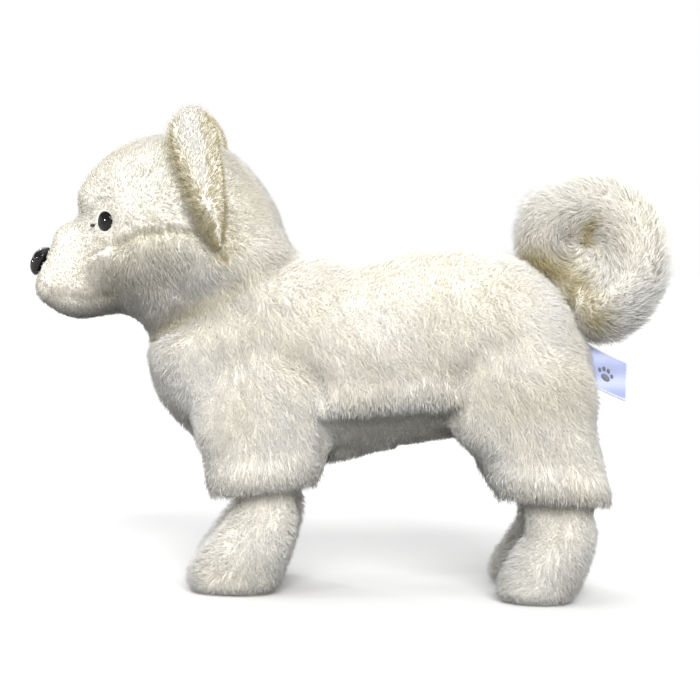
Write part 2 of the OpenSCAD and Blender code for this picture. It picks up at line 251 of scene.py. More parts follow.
def set_inputs(tree, node, values):
    """Sets inputs of a node: a socket is wired in, anything else is the input's value."""
    for name, value in values.items():
        if isinstance(value, bpy.types.NodeSocket):
            tree.links.new(value, node.inputs[name])
        else:
            node.inputs[name].default_value = value
    return node


def new_node(tree, kind, **values):
    return set_inputs(tree, tree.nodes.new(f"ShaderNode{kind}"), values)


def node_material(name):
    material = bpy.data.materials.new(name)
    material.use_nodes = True
    tree = material.node_tree
    tree.nodes.clear()
    shader = new_node(tree, "BsdfPrincipled")
    new_node(tree, "OutputMaterial", Surface=shader.outputs["BSDF"])
    return material, tree, shader


def colour_ramp(tree, source, stops):
    node = new_node(tree, "ValToRGB", Fac=source)
    elements = node.color_ramp.elements
    while len(elements) < len(stops):
        elements.new(0.5)
    for element, (place, colour) in zip(elements, stops):
        element.position = place
        element.color = (*colour, 1)
    return node.outputs["Color"]


def object_coords(tree):
    return new_node(tree, "TexCoord").outputs["Object"]


def noise_node(tree, scale, detail=3.0):
    return new_node(tree, "TexNoise", Scale=scale, Detail=detail, Vector=object_coords(tree)).outputs["Fac"]


def attribute_node(tree, name):
    node = new_node(tree, "Attribute")
    node.attribute_name = name
    return node.outputs["Fac"]


def mixed(tree, a, b, factor, kind="MIX"):
    node = new_node(tree, "Mix")
    node.data_type = "RGBA"
    node.blend_type = kind
    a, b = (c if isinstance(c, bpy.types.NodeSocket) else (*c, 1) for c in (a, b))
    return set_inputs(tree, node, {"Factor": factor, 6: a, 7: b}).outputs[2]


def bump_node(tree, height, strength, distance):
    return new_node(tree, "Bump", Strength=strength, Distance=distance, Height=height).outputs["Normal"]


WHITE = (1, 1, 1)
# warm colour the pile is mixed towards: painted warm shade in the folds, and the pile's own warm tint on the ear's
# rear edge and the upper parts
WARM_SHADE_AND_TINT = (0.54, 0.44, 0.20)


def fur_material(name, root, middle, tip):
    """Pile: darker and warmer at the root, paler at the tip, each strand a little different, with painted warm shade
    in the folds, a warm tint on the ear's rear edge, and painted grey shade where its strands carry it.
    """
    material, tree, shader = node_material(name)
    coloured = colour_ramp(tree, attribute_node(tree, "along"), [(0.0, root), (BEND_AT, middle), (1.0, tip)])
    strands = [(0.0, (0.93, 0.92, 0.89)), (0.4, (0.98, 0.977, 0.965)), (1.0, WHITE)]
    patches = [(0.35, (0.955, 0.93, 0.86)), (0.65, WHITE)]
    for source, stops in ((attribute_node(tree, "strand"), strands), (noise_node(tree, 22.0), patches)):
        coloured = mixed(tree, coloured, colour_ramp(tree, source, stops), 1.0, "MULTIPLY")
    # painted warm shade in the folds; on the ear's rear edge and the upper parts the same mix is the pile's own warm
    # tint
    coloured = mixed(tree, coloured, WARM_SHADE_AND_TINT, attribute_node(tree, "fold"))
    # painted grey shade, multiplied into the colour
    coloured = mixed(tree, coloured, (0.42, 0.425, 0.435), attribute_node(tree, "painted_shade"), "MULTIPLY")
    set_inputs(tree, shader, {
        "Base Color": coloured, "Roughness": 0.55, "Specular IOR Level": 0.35, "Sheen Weight": 0.25,
        "Sheen Roughness": 0.4, "Subsurface Weight": 0.4, "Subsurface Radius": (1.0, 0.95, 0.85),
        "Subsurface Scale": 0.001})
    return material


def cloth_material(name, colour, dark, scale=900.0):
    """Woven backing cloth under the pile."""
    material, tree, shader = node_material(name)
    weave = new_node(tree, "TexChecker", Scale=scale, Color1=(*colour, 1), Color2=(*dark, 1),
                     Vector=object_coords(tree))
    patches = colour_ramp(tree, noise_node(tree, 60.0, 4.0), [(0.3, (0.9, 0.88, 0.83)), (0.7, WHITE)])
    set_inputs(tree, shader, {"Base Color": mixed(tree, weave.outputs["Color"], patches, 1.0, "MULTIPLY"),
                              "Normal": bump_node(tree, weave.outputs["Fac"], 0.3, 0.0002), "Roughness": 0.9})
    return material


def gloss_material(name, colour, sheen_colour, rough):
    """Moulded glossy plastic with faint unevenness."""
    material, tree, shader = node_material(name)
    speck = colour_ramp(tree, noise_node(tree, 420.0, 2.0), [(0.3, colour), (0.8, sheen_colour)])
    uneven = bump_node(tree, noise_node(tree, 160.0, 2.0), 0.05, 0.0002)
    set_inputs(tree, shader, {"Base Color": speck, "Normal": uneven, "Roughness": rough, "Specular IOR Level": 0.28})
    return material


def thread_material(name, colour, light):
    """Twisted sewing thread."""
    material, tree, shader = node_material(name)
    twist = noise_node(tree, 2400.0, 1.0)
    set_inputs(tree, shader, {"Base Color": colour_ramp(tree, twist, [(0.35, colour), (0.7, light)]),
                              "Normal": bump_node(tree, twist, 0.5, 0.0001), "Roughness": 0.7})
    return material


long_fur = fur_material("long_fur", (0.95, 0.93, 0.88), (0.97, 0.96, 0.935), (0.985, 0.982, 0.972))
# the short pile is a darker copy of the same pile: painted shade standing in for the self-shading of longer pile
short_fur = fur_material("short_fur", (0.84, 0.815, 0.75), (0.88, 0.862, 0.815), (0.91, 0.90, 0.87))
ear_lining_fur = fur_material("ear_lining_fur", (0.66, 0.50, 0.22), (0.80, 0.65, 0.34), (0.90, 0.80, 0.55))
backing = cloth_material("backing_cloth", (0.95, 0.93, 0.87), (0.92, 0.895, 0.82))
sole_cloth = cloth_material("sole_cloth", (0.82, 0.78, 0.68), (0.74, 0.70, 0.60), 500.0)
eye_plastic = gloss_material("eye_plastic", (0.004, 0.003, 0.003), (0.009, 0.007, 0.006), 0.06)
nose_plastic = gloss_material("nose_plastic", (0.005, 0.004, 0.004), (0.012, 0.010, 0.010), 0.11)
washer_plastic = gloss_material("washer_plastic", (0.80, 0.80, 0.79), (0.88, 0.88, 0.87), 0.45)
black_thread = thread_material("black_thread", (0.012, 0.011, 0.011), (0.05, 0.048, 0.046))
white_thread = thread_material("white_thread", (0.80, 0.77, 0.70), (0.93, 0.91, 0.86))


# ---- landmarks from the frame

NECK, NECK_UP = joint_place("head_turn")
HUBS = {which: joint_place(f"{which}_leg_left_swing")[0] for which in ("front", "hind")}
FRONT_HUB, HIND_HUB = HUBS.values()
TAIL_ROOT = joint_place("tail_wag")[0]
NOSE_X = node_box("head_gusset", "cheek_panel_left", "cheek_panel_right", "chin_panel")[0][0]
# half the width of the chest between the sleeves, the lower edge of the side panels, and the sleeves' lower edges
KEEL = -node_box("front_sleeve_inner_left")[1][1]
PANEL_LOW = node_box("side_panel_left")[0][2]
HEM = {which: node_box(f"{which}_sleeve_outer_left")[0][2] for which in HUBS}
# how far below its hub a sleeve's own pile and modelling begin
SLEEVE_TOP = 0.02
# the x that parts the front of the trunk from the rear
WAIST = 0.03


def hub_radius(which):
    return node_box(f"{which}_sleeve_outer_left")[1][2] - HUBS[which][2]


def at_end(x, which):
    """True at the front or the hind end of the trunk."""
    return (x < WAIST) == (which == "front")


def above_neck(p):
    """Height above the neck's centre, along the neck."""
    return (p - NECK) @ NECK_UP


def on_head(p):
    """1 on the head, 0 on the trunk, smooth across the neck."""
    return ramp(above_neck(p), 0.004, 0.014)


# ---- skins

def stuffed(obj, rounds, cap):
    """Swells a skin with cloth pressure, as filling does, and keeps each point within cap of where it was."""
    before = points_of(obj.data)
    cloth = obj.modifiers.new("filling", "CLOTH")
    settings = cloth.settings
    settings.quality = 4
    settings.mass = 0.3
    settings.use_pressure = True
    settings.uniform_pressure_force = 4.0
    settings.tension_stiffness = 12
    settings.compression_stiffness = 12
    settings.bending_stiffness = 0.6
    settings.effector_weights.gravity = 0.0
    cloth.point_cache.frame_start = 1
    cloth.point_cache.frame_end = rounds
    for number in range(1, rounds + 1):
        bpy.context.scene.frame_set(number)
    applied(obj)
    bpy.context.scene.frame_set(1)
    move = points_of(obj.data) - before
    size = np.linalg.norm(move, axis=1, keepdims=True)
    set_points(obj.data, before + move * np.minimum(1.0, cap / np.maximum(size, 1e-9)))


def subdivided(obj):
    obj.modifiers.new("finer", "SUBSURF").levels = 1
    return applied(obj)


def segment_distance(p, a, b):
    """Distance from points p (n, 2) to the segment ab, and the signed distance to its line (left is positive)."""
    ab = b - a
    t = np.clip(((p - a) @ ab) / (ab @ ab), 0, 1)
    away = p - a - t[:, None] * ab
    sign = np.sign(ab[0] * (p - a)[:, 1] - ab[1] * (p - a)[:, 0])
    return lengths(away), sign


def line_distance(p, line):
    """Distance to a polyline in the side view, and the side of it: +1 above a line that runs rearwards."""
    p = p[:, [0, 2]]
    best = np.full(len(p), 9.0)
    sides = np.ones(len(p))
    for a, b in zip(line[:-1], line[1:]):
        distance, sign = segment_distance(p, np.array(a), np.array(b))
        nearer = distance < best
        best = np.where(nearer, distance, best)
        sides = np.where(nearer, sign, sides)
    return best, sides


def head_point(behind, up):
    """A place on the head in the side view, by its distance in mm behind the nose and above the neck centre."""
    return np.array([NOSE_X + behind * MM, NECK[2] + up * MM])


# Seam under the eye that the cheek ruff hangs from, running rearwards to below the ear
CHEEK_SEAM = [head_point(*place) for place in ((48, 23), (60, 29), (76, 31.5), (92, 30.5), (108, 17))]
# Fold of the lips, rearwards from under the nose
MOUTH = [head_point(*place) for place in ((5, 1.5), (14, -6), (30, -7), (44, -3))]
EAR_LOW, EAR_HIGH = node_box("ear_fur_left")
# Front edge of an ear in the side view, from its lower tip to its upper tip
EAR_FRONT = [(EAR_LOW[0] + (EAR_HIGH[0] - EAR_LOW[0]) * f, mix(EAR_LOW[2], EAR_HIGH[2], h))
             for f, h in ((0.96, 0.02), (0.72, 0.25), (0.40, 0.45), (0.12, 0.68), (0.0, 0.80))]


def fitting_frame(node, washer, dome):
    """Centre of the base of an eye's or the nose's dome, and the way it faces, from its front and its washer."""
    points = points_of(frame["nodes"][node].data)
    low, high = node_box(washer)
    back = (low + high) / 2
    way = unit((points.min(0) + points.max(0)) / 2 - back)
    return back + way * (((points - back) @ way).max() - dome * MM), way


EYE_PLACES = {side: fitting_frame(f"eye_{side}", f"eye_washer_{side}", 4) for side in SIDES}
EYE_CENTRES = [centre for centre, _ in EYE_PLACES.values()]
NOSE_PLACE = fitting_frame("nose_button", "nose_washer", 5)
HEM_SLOPE = {"front": 0.14, "hind": -0.04}


def hem_height(p, which):
    """Height of a sleeve's hem: the front one dips towards the toes, the hind one runs about level."""
    return HEM[which] + 0.0035 + HEM_SLOPE[which] * (p[:, 0] - HUBS[which][0])


def leg_pairs(p):
    """For each pair of legs: name, hub, which points are at its end of the trunk, and how high over its hem."""
    for which, hub in HUBS.items():
        yield which, hub, at_end(p[:, 0], which), p[:, 2] - hem_height(p, which)


def below_cheek(p):
    """1 below the seam under the eye, 0 above it."""
    away, above = line_distance(p, CHEEK_SEAM)
    return ramp(-above * away, -0.001, 0.004)


def panel_edge(p):
    """Height above the lower edge of the side panels, between the legs."""
    ragged = 0.0009 * waves(p, 0.012, 61, 3)
    return p[:, 2] - (PANEL_LOW + 0.003 + 0.11 * (p[:, 0] - FRONT_HUB[0])) + ragged


def between_legs(p):
    x = p[:, 0]
    return ramp(x, FRONT_HUB[0] + 0.027, FRONT_HUB[0] + 0.033) * fall(x, HIND_HUB[0] - 0.038, HIND_HUB[0] - 0.030)


def panel_fringe(p):
    """The lowest stretch of the side panels, whose pile hangs over the belly."""
    above = panel_edge(p)
    return between_legs(p) * ramp(above, -0.0010, 0.0005) * fall(above, 0.006, 0.020) * (np.abs(p[:, 1]) > 0.012)


def under_belly(p):
    """The belly panel, which is set in behind the side panels."""
    return between_legs(p) * fall(panel_edge(p), -0.0015, 0.0005)


def fur_length(p):
    """Length of the pile at points p, in metres."""
    x, y, z = p.T
    high = above_neck(p)
    long = np.full(len(p), 7.0)
    # chest and belly
    long = mix(long, 8.5, fall(x, -0.100, -0.080) * fall(high, -0.02, 0.0))
    long = mix(long, 4.5, under_belly(p))
    long = mix(long, 8.0, panel_fringe(p))
    # the head: short on the muzzle, longer over the skull, a long ruff under the cheek seam
    behind = x - NOSE_X
    head = mix(3.2, 4.6, ramp(behind, 0.012, 0.060))
    below = below_cheek(p) * ramp(behind, 0.036, 0.060)
    head = mix(head, 9.0, below * ramp(np.abs(y), 0.010, 0.024))
    head = mix(head, 6.0, ramp(behind, 0.095, 0.130) * (1 - below))
    long = mix(long, head, ramp(high, 0.002, 0.012))
    # sleeves and lower legs
    for _, hub, near, above in leg_pairs(p):
        leg = mix(4.5, 7.5, fall(above, -0.018, -0.002))
        leg = mix(leg, mix(7.5, 7.0, ramp(above, 0.006, 0.024)), ramp(above, -0.0008, 0.0008))
        leg = mix(5.5, leg, ramp(z, 0.004, 0.016))
        below_hub = near & (z < hub[2] - SLEEVE_TOP)
        long = np.where(below_hub, mix(long, leg, fall(z, hub[2] - 0.03, hub[2] - SLEEVE_TOP)), long)
    # short round the eyes and the nose
    for centre in EYE_CENTRES:
        away = lengths(p - centre)
        long = np.where(away < 0.018, np.minimum(long, mix(2.4, 5.6, ramp(away, 0.0065, 0.018))), long)
    away = lengths(p - NOSE_PLACE[0])
    long = np.where(away < 0.018, np.minimum(long, mix(1.8, 3.8, ramp(away, 0.008, 0.018))), long)
    return long * MM


# Angle of the pile to the skin near the root and near the tip, standing as cut and combed flat
LIFT, LIFT_FLAT = (60, 38), (34, 8)


def flatness(p):
    """How flat the pile lies: 0 where it stands as cut, 1 where it hangs over a hem."""
    flat = panel_fringe(p)
    for _, _, near, above in leg_pairs(p):
        flat = np.maximum(flat, near * ramp(above, -0.001, 0.0005) * fall(above, 0.008, 0.022))
    return flat


def laid(p):
    """How far the pile is brushed down: over the hems, and partly on the face."""
    away, above = line_distance(p, CHEEK_SEAM)
    face = np.maximum(ramp(above * away, -0.002, 0.002), fall(p[:, 0], NOSE_X + 0.040, NOSE_X + 0.050))
    face *= on_head(p) * fall(p[:, 0], -0.095, -0.080)
    return np.maximum(flatness(p), 0.5 * face)


def pile_rise(p):
    """How high the pile stands, as a share of its length."""
    flat = laid(p)
    angles = [np.radians(mix(high, low, flat)) for high, low in zip(LIFT, LIFT_FLAT)]
    return BEND_AT * np.sin(angles[0]) + (1 - BEND_AT) * np.sin(angles[1])


def skin_depth(p):
    """How far the skin lies inside the CAD surface, so that the pile stands just proud of it."""
    long = fur_length(p)
    proud = mix(2.6, 3.2, ramp(long, 0.004, 0.008))
    # how proud the pile stands at the eyes and the nose, and how far from them that reaches
    for centre, near, reach in [(eye, 1.3, 0.015) for eye in EYE_CENTRES] + [(NOSE_PLACE[0], -0.9, 0.022)]:
        proud = mix(near, proud, ramp(lengths(p - centre), 0.0075, reach))
    return long * pile_rise(p) - proud * MM


def steered(way, target, share):
    """Turns way towards target by share. Each part of target is one number, or one for every point."""
    return mix(way, np.stack(np.broadcast_arrays(*target, share), -1)[:, :3], share[:, None])


def comb(p, n):
    """The way the pile lies at points p, before it is laid along the skin."""
    x, y, z = p.T
    behind = x - NOSE_X
    out = np.sign(y) * 0.35
    way = np.tile((0.55, 0.0, -0.75), (len(p), 1))
    way = steered(way, (0.95, out, -0.25), ramp(n[:, 2], 0.55, 0.95))
    way = steered(way, (0.9, 0.0, 0.1), fall(n[:, 2], -0.9, -0.5))
    way = steered(way, (0.10, out * 0.3, -1.0), fall(x, -0.10, -0.075))
    for _, hub, near, _ in leg_pairs(p):
        way = steered(way, (0.12, 0.0, -1.0), near * fall(z, hub[2] - 0.02, hub[2] + 0.01))
        way = steered(way, (-0.45, 0.0, -1.0), near * fall(z, 0.015, 0.04))
    head = np.tile((1.0, 0.0, 0.12), (len(p), 1))
    head = steered(head, (0.75, 0.0, 0.62), ramp(behind, 0.02, 0.05) * ramp(z, 0.20, 0.225))
    head = steered(head, (0.9, 0.0, -0.45), ramp(behind, 0.07, 0.11))
    head = steered(head, (0.50, 0.0, -0.85), below_cheek(p) * ramp(behind, 0.025, 0.05))
    way = mix(way, head, ramp(above_neck(p), 0.002, 0.02)[:, None])
    for centre, facing in [*EYE_PLACES.values(), NOSE_PLACE]:
        off = p - centre
        share = 0.75 * fall(lengths(off), 0.008, 0.014)
        way = mix(way, unit(off - (off @ facing)[:, None] * facing), share[:, None])
    way = steered(way, (0.15, 0.0, -1.0), flatness(p))
    return way + 0.16 * np.stack([waves(p, 0.03, seed) for seed in (21, 22, 23)], -1)


def at_nape(p):
    """1 behind the head, where it runs into the back without a crease."""
    return ramp(p[:, 0], NECK[0] + 0.004, NECK[0] + 0.024)


def seam_softness(p):
    """Where the seams of the body are drawn out smooth: the nape, the back, the shoulders and the hips."""
    high = above_neck(p)
    nape = at_nape(p) * hump(high + 0.006, 0.018)
    trunk = fall(high, -0.020, -0.006) * ramp(panel_edge(p), 0.010, 0.022)
    return np.maximum(nape, 0.45 * trunk)[:, None]


# Swells and hollows in the side view: place, height and width in mm, region, and which way the skin must face there
BACKWARD, FORWARD, UPWARD = (1, 0, 0), (-1, 0, 0), (0, 0, 1)
SWELLS = [
    (head_point(5, 0), 2.8, 8.5, "any", (FORWARD, 0.1, 0.7)),  # blunt front of the muzzle, under the nose
    (head_point(46, 62), 2.6, 26, "head", None),  # forehead
    (head_point(13, 30), 3.6, 9.5, "any", (UPWARD, 0.0, 0.6)),  # bridge of the muzzle
    (head_point(23, 50), 3.0, 10, "head", None),  # brow
    (NECK[[0, 2]] + np.array([0.037, 0.034]), -3.4, 15, "any", (BACKWARD, -0.2, 0.5)),  # back of the head
    (head_point(28, 41), -1.2, 6, "any", None),  # stop between the eyes
    (NECK[[0, 2]] + np.array([-0.038, -0.036]), 4.2, 24, "trunk", (FORWARD, 0.2, 0.8)),  # deep chest
    (NECK[[0, 2]] + np.array([-0.036, -0.024]), 5.0, 11, "any", (FORWARD, -0.2, 0.6)),  # throat
]


def sculpt(p, n):
    """Soft modelling of the skin before it is set back: cheeks, brow, muzzle, shoulders and seams."""
    x, y, z = p.T
    behind = x - NOSE_X
    side_view = p[:, [0, 2]]
    push = np.zeros(len(p))
    head = on_head(p)
    # the ruff swells below its seam, and the seam itself is drawn in
    away, above = line_distance(p, CHEEK_SEAM)
    flank = ramp(np.abs(y), 0.014, 0.026) * head
    push += 3.2 * MM * flank * ramp(-above * away, -0.001, 0.004) * ramp(above * away, -0.03, -0.008)
    push -= 2.2 * MM * flank * hump(away, 0.0028)
    # eye sockets
    for centre in EYE_CENTRES:
        push -= 1.6 * MM * hump(lengths(p - centre), 0.010)
    # lips: a soft fold along the mouth
    away, _ = line_distance(p, MOUTH)
    push -= 0.8 * MM * hump(away, 0.0024) * (1 - ramp(behind, 0.040, 0.052))
    # swells and hollows of the head, the chest and the throat
    regions = {"any": 1.0, "head": head, "trunk": 1 - head}
    for place, height, width, region, facing in SWELLS:
        swell = height * MM * hump(lengths(side_view - place), width * MM) * regions[region]
        if facing is not None:
            axis, low, high = facing
            swell = swell * ramp(n @ np.array(axis), low, high)
        push += swell
    away, _ = line_distance(p, EAR_FRONT)
    push += 1.6 * MM * hump(away, 0.006) * flank
    # neck crease between the ruff and the chest
    crease = above_neck(p)
    nape = at_nape(p)
    push += MM * mix(-0.6, 4.6, nape) * hump(crease + mix(0.001, 0.010, nape), mix(0.0065, 0.010, nape))
    # side panels end proud of the belly, and sleeves end proud of the lower legs
    edge = panel_edge(p)
    push += 0.7 * MM * panel_fringe(p)
    inset = between_legs(p) * fall(edge, -0.002, 0.001) * ramp(np.abs(n[:, 1]), 0.15, 0.6)
    push -= 3.2 * MM * inset
    for which, hub, near, above in leg_pairs(p):
        near = near & (z < hub[2] - SLEEVE_TOP)
        push += 0.7 * MM * near * ramp(above, -0.001, 0.0005) * fall(above, 0.004, 0.026)
        push += 2.4 * MM * near * ramp(above, -0.001, 0.0005) * ramp(HEM[which] - z, -0.001, 0.001)
        push -= 3.0 * MM * near * fall(above, -0.0015, 0.0005) * ramp(above, -0.022, -0.006)
    # shallow dents and swells of hand filling
    push += 0.8 * MM * waves(p, 0.06, 5) * (1 - 0.7 * head)
    return p + n * push[:, None]


def body_skin():
    nodes = [n for body in BODY_NODES for n in BODY_NODES[body]
             if body not in ("tail", "ear_left", "ear_right")
             and any(w in n for w in ("filling", "panel", "collar", "gusset", "sleeve", "paw", "sole"))]
    obj = union_skin("body_skin", nodes, BODY_VOXEL)
    relaxed(obj.data, 4)
    stuffed(obj, 16, 0.0025)
    relaxed(obj.data, 3)
    subdivided(obj)
    mesh = obj.data
    relaxed(mesh, 40, 0.6, 0.0, seam_softness(points_of(mesh)))
    set_points(mesh, sculpt(points_of(mesh), normals_of(mesh)))
    relaxed(mesh, 1)
    p, n = points_of(mesh), normals_of(mesh)
    set_points(mesh, p - n * skin_depth(p)[:, None])
    relaxed(mesh, 2)
    p = points_of(mesh)
    p[:, 2] = np.maximum(p[:, 2], SKIN_LOWEST)
    set_points(mesh, p)
    return obj


# ---- regions of the body skin

# Heights along the neck at which the skin passes from the trunk to the neck, and on to the head
TURN_FROM, TURN_TO = -0.034, -0.006
NOD_TO = 0.020
# Heights above a leg's hub: where the leg's skin ends, and a higher one
BEND_FROM, BEND_TO = 0.004, 0.036
CHEST_END = -0.082
BELLY_TOP, BELLY_HALF = 0.105, 0.034
# Below this height everything outside the keel belongs to a leg
LEGS_TOP = 0.076
REGIONS = ["chest", "back_left", "back_right", "rump_left", "rump_right", "belly", "neck_low", "neck_high",
           "head_left", "head_right", "front_leg_left", "front_leg_right", "hind_leg_left", "hind_leg_right"]


def region_of(c):
    """Index in REGIONS of each face centre."""
    x, y, z = c.T
    high = above_neck(c)
    left = y < 0
    region = np.where(x < WAIST, np.where(left, 1, 2), np.where(left, 3, 4))
    region = np.where(x < CHEST_END, 0, region)
    region = np.where((z < BELLY_TOP) & (np.abs(y) < BELLY_HALF) & (x > CHEST_END), 5, region)
    for first, which, hub in ((10, "front", FRONT_HUB), (12, "hind", HIND_HUB)):
        near = at_end(x, which)
        r = np.hypot(x - hub[0], z - hub[2])
        inside = (r < hub_radius(which) + 0.002) | (z < LEGS_TOP) | ((which == "hind") & (x > hub[0] + 0.02))
        leg = near & (z < hub[2] + BEND_FROM) & (np.abs(y) > KEEL - 0.0005) & inside
        region = np.where(leg, np.where(left, first, first + 1), region)
    region = np.where(high > TURN_FROM, 6, region)
    region = np.where(high > TURN_TO, 7, region)
    region = np.where(high > NOD_TO, np.where(left, 8, 9), region)
    return region


def attach(piece, name):
    """Makes a piece of the body skin, or its fur, ride on the head or the torso; pieces of the neck and the legs
    only have their transform applied.
    """
    if name == "neck_low":
        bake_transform(piece)
    elif name == "neck_high":
        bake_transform(piece)
    elif "_leg_" in name:
        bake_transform(piece)
    elif name.startswith("head"):
        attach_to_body(piece, "head")
    else:
        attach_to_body(piece, "torso")


def part_of(obj, keep, name):
    """A copy of the faces of obj that keep selects."""
    mesh = obj.data
    corners = np.array([list(p.vertices) for p, k in zip(mesh.polygons, keep) if k])
    used, faces = np.unique(corners, return_inverse=True)
    return link(name, mesh_from(name, points_of(mesh)[used], faces.reshape(corners.shape)), backing)


# ---- fur

STRAND_SIDES = 3
STRAND_POINTS = 2 * STRAND_SIDES + 1
MOST_STRANDS = 19500
SPACING = 0.00080


def scattered(mesh, spacing):
    """Even random places on a mesh of quads or triangles: points, normals and face indices."""
    mesh.calc_loop_triangles()
    count = len(mesh.loop_triangles)
    corners = read(mesh.loop_triangles, "vertices", 3, np.int32)
    faces = read(mesh.loop_triangles, "polygon_index", 1, np.int32)[:, 0]
    p, n = points_of(mesh), normals_of(mesh)
    a, b, c = (p[corners[:, k]] for k in range(3))
    area = lengths(np.cross(b - a, c - a)) / 2
    wanted = area / spacing ** 2
    number = np.floor(wanted + rng.random(count)).astype(int)
    which = np.repeat(np.arange(count), number)
    u, v = rng.random(len(which)), rng.random(len(which))
    flip = u + v > 1
    u, v = np.where(flip, 1 - u, u), np.where(flip, 1 - v, v)
    share = np.stack([1 - u - v, u, v], -1)[:, :, None]
    place = (p[corners[which]] * share).sum(1)
    normal = unit((n[corners[which]] * share).sum(1))
    return place, normal, faces[which]


def clumped(roots, tips, every, strength):
    """Draws each tip towards the tip of a strand nearby, so that the pile falls in small locks."""
    leaders = rng.permutation(len(roots))[:max(1, len(roots) // every)]
    tree = KDTree(len(leaders))
    for i, k in enumerate(leaders):
        tree.insert(roots[k], i)
    tree.balance()
    nearest = leaders[[tree.find(r)[1] for r in roots]]
    lead = tips[nearest] - roots[nearest]
    own = tips - roots
    target = roots[nearest] + lead * (lengths(own) / np.maximum(lengths(lead), 1e-9))[:, None]
    pull = strength * rng.uniform(0.5, 1.2, len(roots))[:, None]
    return tips + (target - tips) * np.clip(pull, 0, 0.95)


def grow(roots, normals, way, length, clump=0.35, every=7, lift=LIFT, flat=0.0, wild=0.28):
    """Root, middle and tip of every strand. lift is its angle to the skin near the root and near the tip."""
    count = len(roots)
    along = way - (way * normals).sum(1)[:, None] * normals
    along = unit(along + wild * rng.normal(size=(count, 3)))
    along = unit(along - (along * normals).sum(1)[:, None] * normals)
    swirl = np.radians(12 * waves(roots, 0.008, 33) + 12 * waves(roots, 0.024, 34))[:, None]
    along = along * np.cos(swirl) + np.cross(normals, along) * np.sin(swirl)
    length = length * rng.uniform(0.78, 1.12, count)
    low, high = (mix(standing, lying, flat) for standing, lying in zip(lift, LIFT_FLAT))
    low = np.radians(low + rng.normal(0, 9, count) + 5 * waves(roots, 0.012, 31))[:, None]
    high = np.radians(high + rng.normal(0, 9, count) + 5 * waves(roots, 0.016, 32))[:, None]
    size = length[:, None]
    middle = roots + size * BEND_AT * (normals * np.sin(low) + along * np.cos(low))
    tips = middle + size * (1 - BEND_AT) * (normals * np.sin(high) + along * np.cos(high))
    moved = clumped(roots, tips, every, clump)
    middle = middle + (moved - tips) * 0.35
    return roots - normals * 0.0008, middle, moved


def strand_mesh(name, roots, middle, tips, normals, width, fold, painted_shade):
    """Closed three-sided tapering strands, with their attributes and a tidy map for baking."""
    count = len(roots)
    axis = unit(middle - roots)
    side = unit(np.cross(axis, normals))
    up = np.cross(side, axis)
    angles = rng.uniform(0, 2 * math.pi, count)
    points = np.empty((count, STRAND_POINTS, 3))
    for k in range(STRAND_SIDES):
        a = (angles + 2 * math.pi * k / STRAND_SIDES)[:, None]
        spoke = (np.cos(a) * side + np.sin(a) * up) * width[:, None]
        points[:, k] = roots + spoke
        points[:, 3 + k] = middle + spoke * BEND_WIDTH
    points[:, 6] = tips
    pattern = [(0, 2, 1)]
    for k in range(STRAND_SIDES):
        n = (k + 1) % STRAND_SIDES
        pattern += [(k, n, 3 + n), (k, 3 + n, 3 + k), (3 + k, 3 + n, 6)]
    faces = (np.arange(count)[:, None, None] * STRAND_POINTS + np.array(pattern)[None]).reshape(-1, 3)
    mesh = mesh_from(name, points.reshape(-1, 3), faces)
    values = {"along": np.tile([0, 0, 0, BEND_AT, BEND_AT, BEND_AT, 1], count)}
    # per strand: a random tone, the painted warm shade of the folds and the painted grey shade
    for attribute, of_strand in (("strand", rng.random(count)), ("fold", fold), ("painted_shade", painted_shade)):
        values[attribute] = np.repeat(of_strand, STRAND_POINTS)
    for attribute, numbers in values.items():
        mesh.attributes.new(attribute, "FLOAT", "POINT").data.foreach_set("value", numbers.astype(np.float32))
    cells = math.ceil(math.sqrt(count))
    column, row = np.arange(count) % cells, np.arange(count) // cells
    across = np.array([0.15, 0.5, 0.85, 0.15, 0.5, 0.85, 0.5])
    upward = np.array([0.1, 0.1, 0.1, 0.5, 0.5, 0.5, 0.9])
    u = (column[:, None] + across) / cells
    v = (row[:, None] + upward) / cells
    chart = np.stack([u, v], -1).reshape(-1, 2)[faces.ravel()]
    mesh.uv_layers.new(name="OFBake").data.foreach_set("uv", chart.astype(np.float32).ravel())
    return mesh


def warm_shade_and_cream(p):
    """Painted warm shade in the folds: the cheek seam, the neck crease, the mouth, round the eyes, the ear roots and
    under the tail; and a creamier tone on the upper parts.
    """
    behind = p[:, 0] - NOSE_X
    away, _ = line_distance(p, CHEEK_SEAM)
    head = on_head(p)
    flank = head * ramp(np.abs(p[:, 1]), 0.018, 0.028)
    # painted warm shade: under the cheek seam, along the mouth, in the neck crease, round the eyes and in the furrow
    # in front of the ears
    tint = 0.42 * hump(away, 0.0032) * flank
    away, _ = line_distance(p, MOUTH)
    tint += 0.22 * hump(away, 0.003) * head * (1 - ramp(behind, 0.045, 0.055))
    crease = above_neck(p)
    tint += 0.42 * hump(crease + 0.001, 0.0055) * (1 - 0.9 * at_nape(p))
    for centre in EYE_CENTRES:
        tint += 0.25 * hump(lengths(p - centre), 0.009)
    away, _ = line_distance(p, EAR_FRONT)
    tint += 1.0 * hump(away, 0.0075) * flank
    # the upper parts are creamier than the legs and the belly
    tint += 0.095 * ramp(p[:, 2], 0.085, 0.14)
    # painted warm shade in the creases of the tail
    tint = np.maximum(tint, tail_painted_shade(p))
    return np.clip(tint + 0.055 * waves(p, 0.05, 41), 0, 1)


